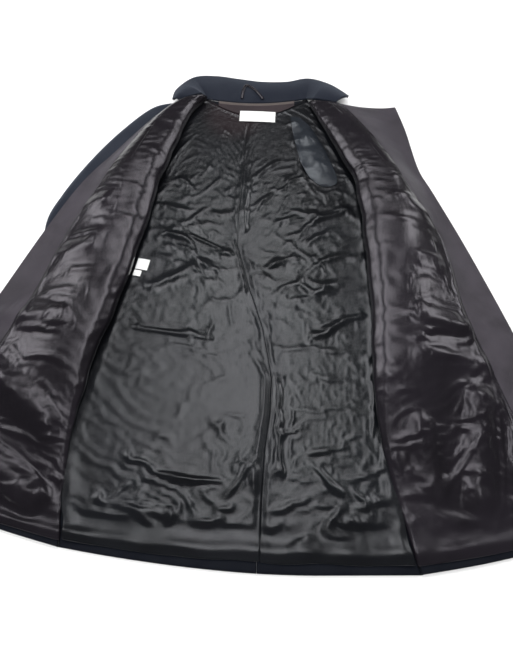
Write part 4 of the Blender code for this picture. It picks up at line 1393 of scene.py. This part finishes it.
class JACKET_OT_collar(bpy.types.Operator):
    """Build the collar, the under collar and the hanger loop"""
    bl_idname = "jacket.collar"
    bl_label = "Collar"

    def execute(self, context):
        across = np.linspace(0, 1, 26)
        points = collar_surface(np.linspace(0, 1, 170), across)
        wave = unevenness(points[..., 0], points[..., 1], 30, 15.2) * 0.9
        points[..., 2] += wave * np.sin(np.pi * across)[:, None]
        cloth("collar_cloth", points, wool_mm(), finish("brushed_wool"),
              "collar")
        cloth("under_collar_cloth", moved_out(points, -UNDER_COLLAR_LIFT), wool_mm(),
              finish("brushed_wool"), "under_collar")
        self.hanger()
        return {"FINISHED"}

    def hanger(self):
        path = curve(HANGER_PATH, np.linspace(0, 1, 40))
        spine = np.array([collar_surface([along], [across])[0, 0] for along, across in path])
        run = np.gradient(spine, axis=0)
        side = np.stack((run[:, 1], -run[:, 0], 0 * run[:, 0]), 1)
        side /= np.linalg.norm(side, axis=1, keepdims=True)
        t = np.linspace(-1, 1, 7)
        strip = spine[:, None] + side[:, None] * t[None, :, None] * HANGER_HALF
        strip[..., 2] += HANGER_LIFT + 0.5 * (1 - t ** 2)[None, :]
        cloth("hanger_loop_cloth", strip, HANGER_THICK, finish("front_satin"),
              "hanger_loop")


def top_under(x, y):
    """The highest point of the linings below a label."""
    graph = bpy.context.evaluated_depsgraph_get()
    highest = 0.0
    for name in ("satin_back_left", "satin_back_right", "neck_facing_cloth"):
        tree = BVHTree.FromObject(bpy.data.objects[name], graph)
        for px, py in zip(x.ravel(), y.ravel()):
            place = Vector((px, py, 60.0)) * MM + Vector(PLAN_ORIGIN)
            hit = tree.ray_cast(place, Vector((0, 0, -1)))[0]
            if hit:
                highest = max(highest, hit.z / MM)
    return highest


class JACKET_OT_labels(bpy.types.Operator):
    """Build the blank neck label and the care labels"""
    bl_idname = "jacket.labels"
    bl_label = "Labels"

    def execute(self, context):
        for name, (x, y, width, length, turn) in LABELS.items():
            u, v = np.meshgrid(np.linspace(-0.5, 0.5, 30) * width,
                               np.linspace(-0.5, 0.5, 16) * length)
            c, s = math.cos(math.radians(turn)), math.sin(math.radians(turn))
            px, py = x + u * c - v * s, y + u * s + v * c
            z = top_under(px, py) + LABEL_LIFT + LABEL_ARCH * np.cos(u / width * np.pi)
            cloth(name + "_tape", np.stack((px, py, z), 2), sizes().label / MM,
                  finish("label_tape"), name)
        return {"FINISHED"}


class JACKET_OT_stage(bpy.types.Operator):
    """Set the floor, the camera and the lights"""
    bl_idname = "jacket.stage"
    bl_label = "Stage"

    def execute(self, context):
        self.floor()
        for row in LIGHTS:
            self.light(*row)
        self.world()
        self.camera()
        bpy.context.scene.view_settings.view_transform = "Standard"
        return {"FINISHED"}

    def floor(self):
        shape = bmesh.new()
        bmesh.ops.create_grid(shape, x_segments=2, y_segments=2, size=FLOOR_HALF)
        for corner in shape.verts:
            corner.co.z = FLOOR_Z
        mesh = bpy.data.meshes.new("floor")
        shape.to_mesh(mesh)
        shape.free()
        mesh.materials.append(self.paper())
        floor = bpy.data.objects.new("floor", mesh)
        bpy.context.scene.collection.objects.link(floor)

    def paper(self):
        paper, tree, shader = new_material("floor_paper")
        where = node(tree, "ShaderNodeTexCoord", (-6, 1))
        patches = group(tree, "Uneven patches", (-4, 2), Size=3.0)
        shade = scaled(colours().floor, 0.99)
        colour = mixed(tree, (-2, 2), patches.outputs["Mask"], shade, scaled(colours().floor, 1.0))
        wire(tree, (where.outputs["Object"], patches.inputs["Vector"]),
             (colour, shader.inputs["Base Color"]))
        set_inputs(shader, Roughness=0.9, Specular_IOR_Level=0.1)
        return paper

    def light(self, name, place, target, width, length, power, seen):
        """An area light. One that isn't seen brightens the cloth but makes no shine on it."""
        lamp = bpy.data.lights.new(name, "AREA")
        lamp.shape = "RECTANGLE"
        lamp.size, lamp.size_y, lamp.energy = width, length, power
        holder = bpy.data.objects.new(name, lamp)
        holder.visible_glossy = seen
        holder.location = place
        holder.rotation_euler = (Vector(target) - Vector(place)).to_track_quat("-Z", "Y").to_euler()
        bpy.context.scene.collection.objects.link(holder)

    def world(self):
        world = bpy.data.worlds.new("studio")
        world.use_nodes = True
        air = world.node_tree.nodes["Background"]
        air.inputs["Color"].default_value = (1, 1, 1, 1)
        air.inputs["Strength"].default_value = WORLD_LIGHT
        bpy.context.scene.world = world

    def camera(self):
        lens = bpy.data.cameras.new("photo_view")
        lens.sensor_fit = "VERTICAL"
        lens.sensor_height = SENSOR_HEIGHT
        lens.lens = SENSOR_HEIGHT * FOCAL_PIXELS / PICTURE_PIXELS
        camera = bpy.data.objects.new("photo_view", lens)
        camera.location = CAMERA_PLACE
        camera.rotation_euler = (math.radians(CAMERA_TILT), 0.0, 0.0)
        bpy.context.scene.collection.objects.link(camera)
        bpy.context.scene.camera = camera


STEPS = (JACKET_OT_finishes, JACKET_OT_backs, JACKET_OT_fronts, JACKET_OT_sleeves,
         JACKET_OT_collar, JACKET_OT_labels, JACKET_OT_stage)


class JACKET_PT_panel(bpy.types.Panel):
    """Lists the sizes, the colours and the steps of the jacket"""
    bl_idname = "JACKET_PT_panel"
    bl_label = "Long jacket"
    bl_space_type = "VIEW_3D"
    bl_region_type = "UI"
    bl_category = "Jacket"

    def draw(self, context):
        for settings in (context.scene.jacket_sizes, context.scene.jacket_colours):
            for key in settings.__annotations__:
                self.layout.prop(settings, key)
        for step in STEPS:
            self.layout.operator(step.bl_idname)


def register():
    for kind in (JacketSizes, JacketColours, *STEPS, JACKET_PT_panel):
        bpy.utils.register_class(kind)
    bpy.types.Scene.jacket_sizes = bpy.props.PointerProperty(type=JacketSizes)
    bpy.types.Scene.jacket_colours = bpy.props.PointerProperty(type=JacketColours)


def unregister():
    del bpy.types.Scene.jacket_colours
    del bpy.types.Scene.jacket_sizes
    for kind in reversed((JacketSizes, JacketColours, *STEPS, JACKET_PT_panel)):
        bpy.utils.unregister_class(kind)


def main():
    register()
    bpy.ops.jacket.finishes()
    bpy.ops.jacket.backs()
    bpy.ops.jacket.fronts()
    bpy.ops.jacket.sleeves()
    bpy.ops.jacket.collar()
    bpy.ops.jacket.labels()
    bpy.ops.jacket.stage()


if __name__ == "__main__":
    main()
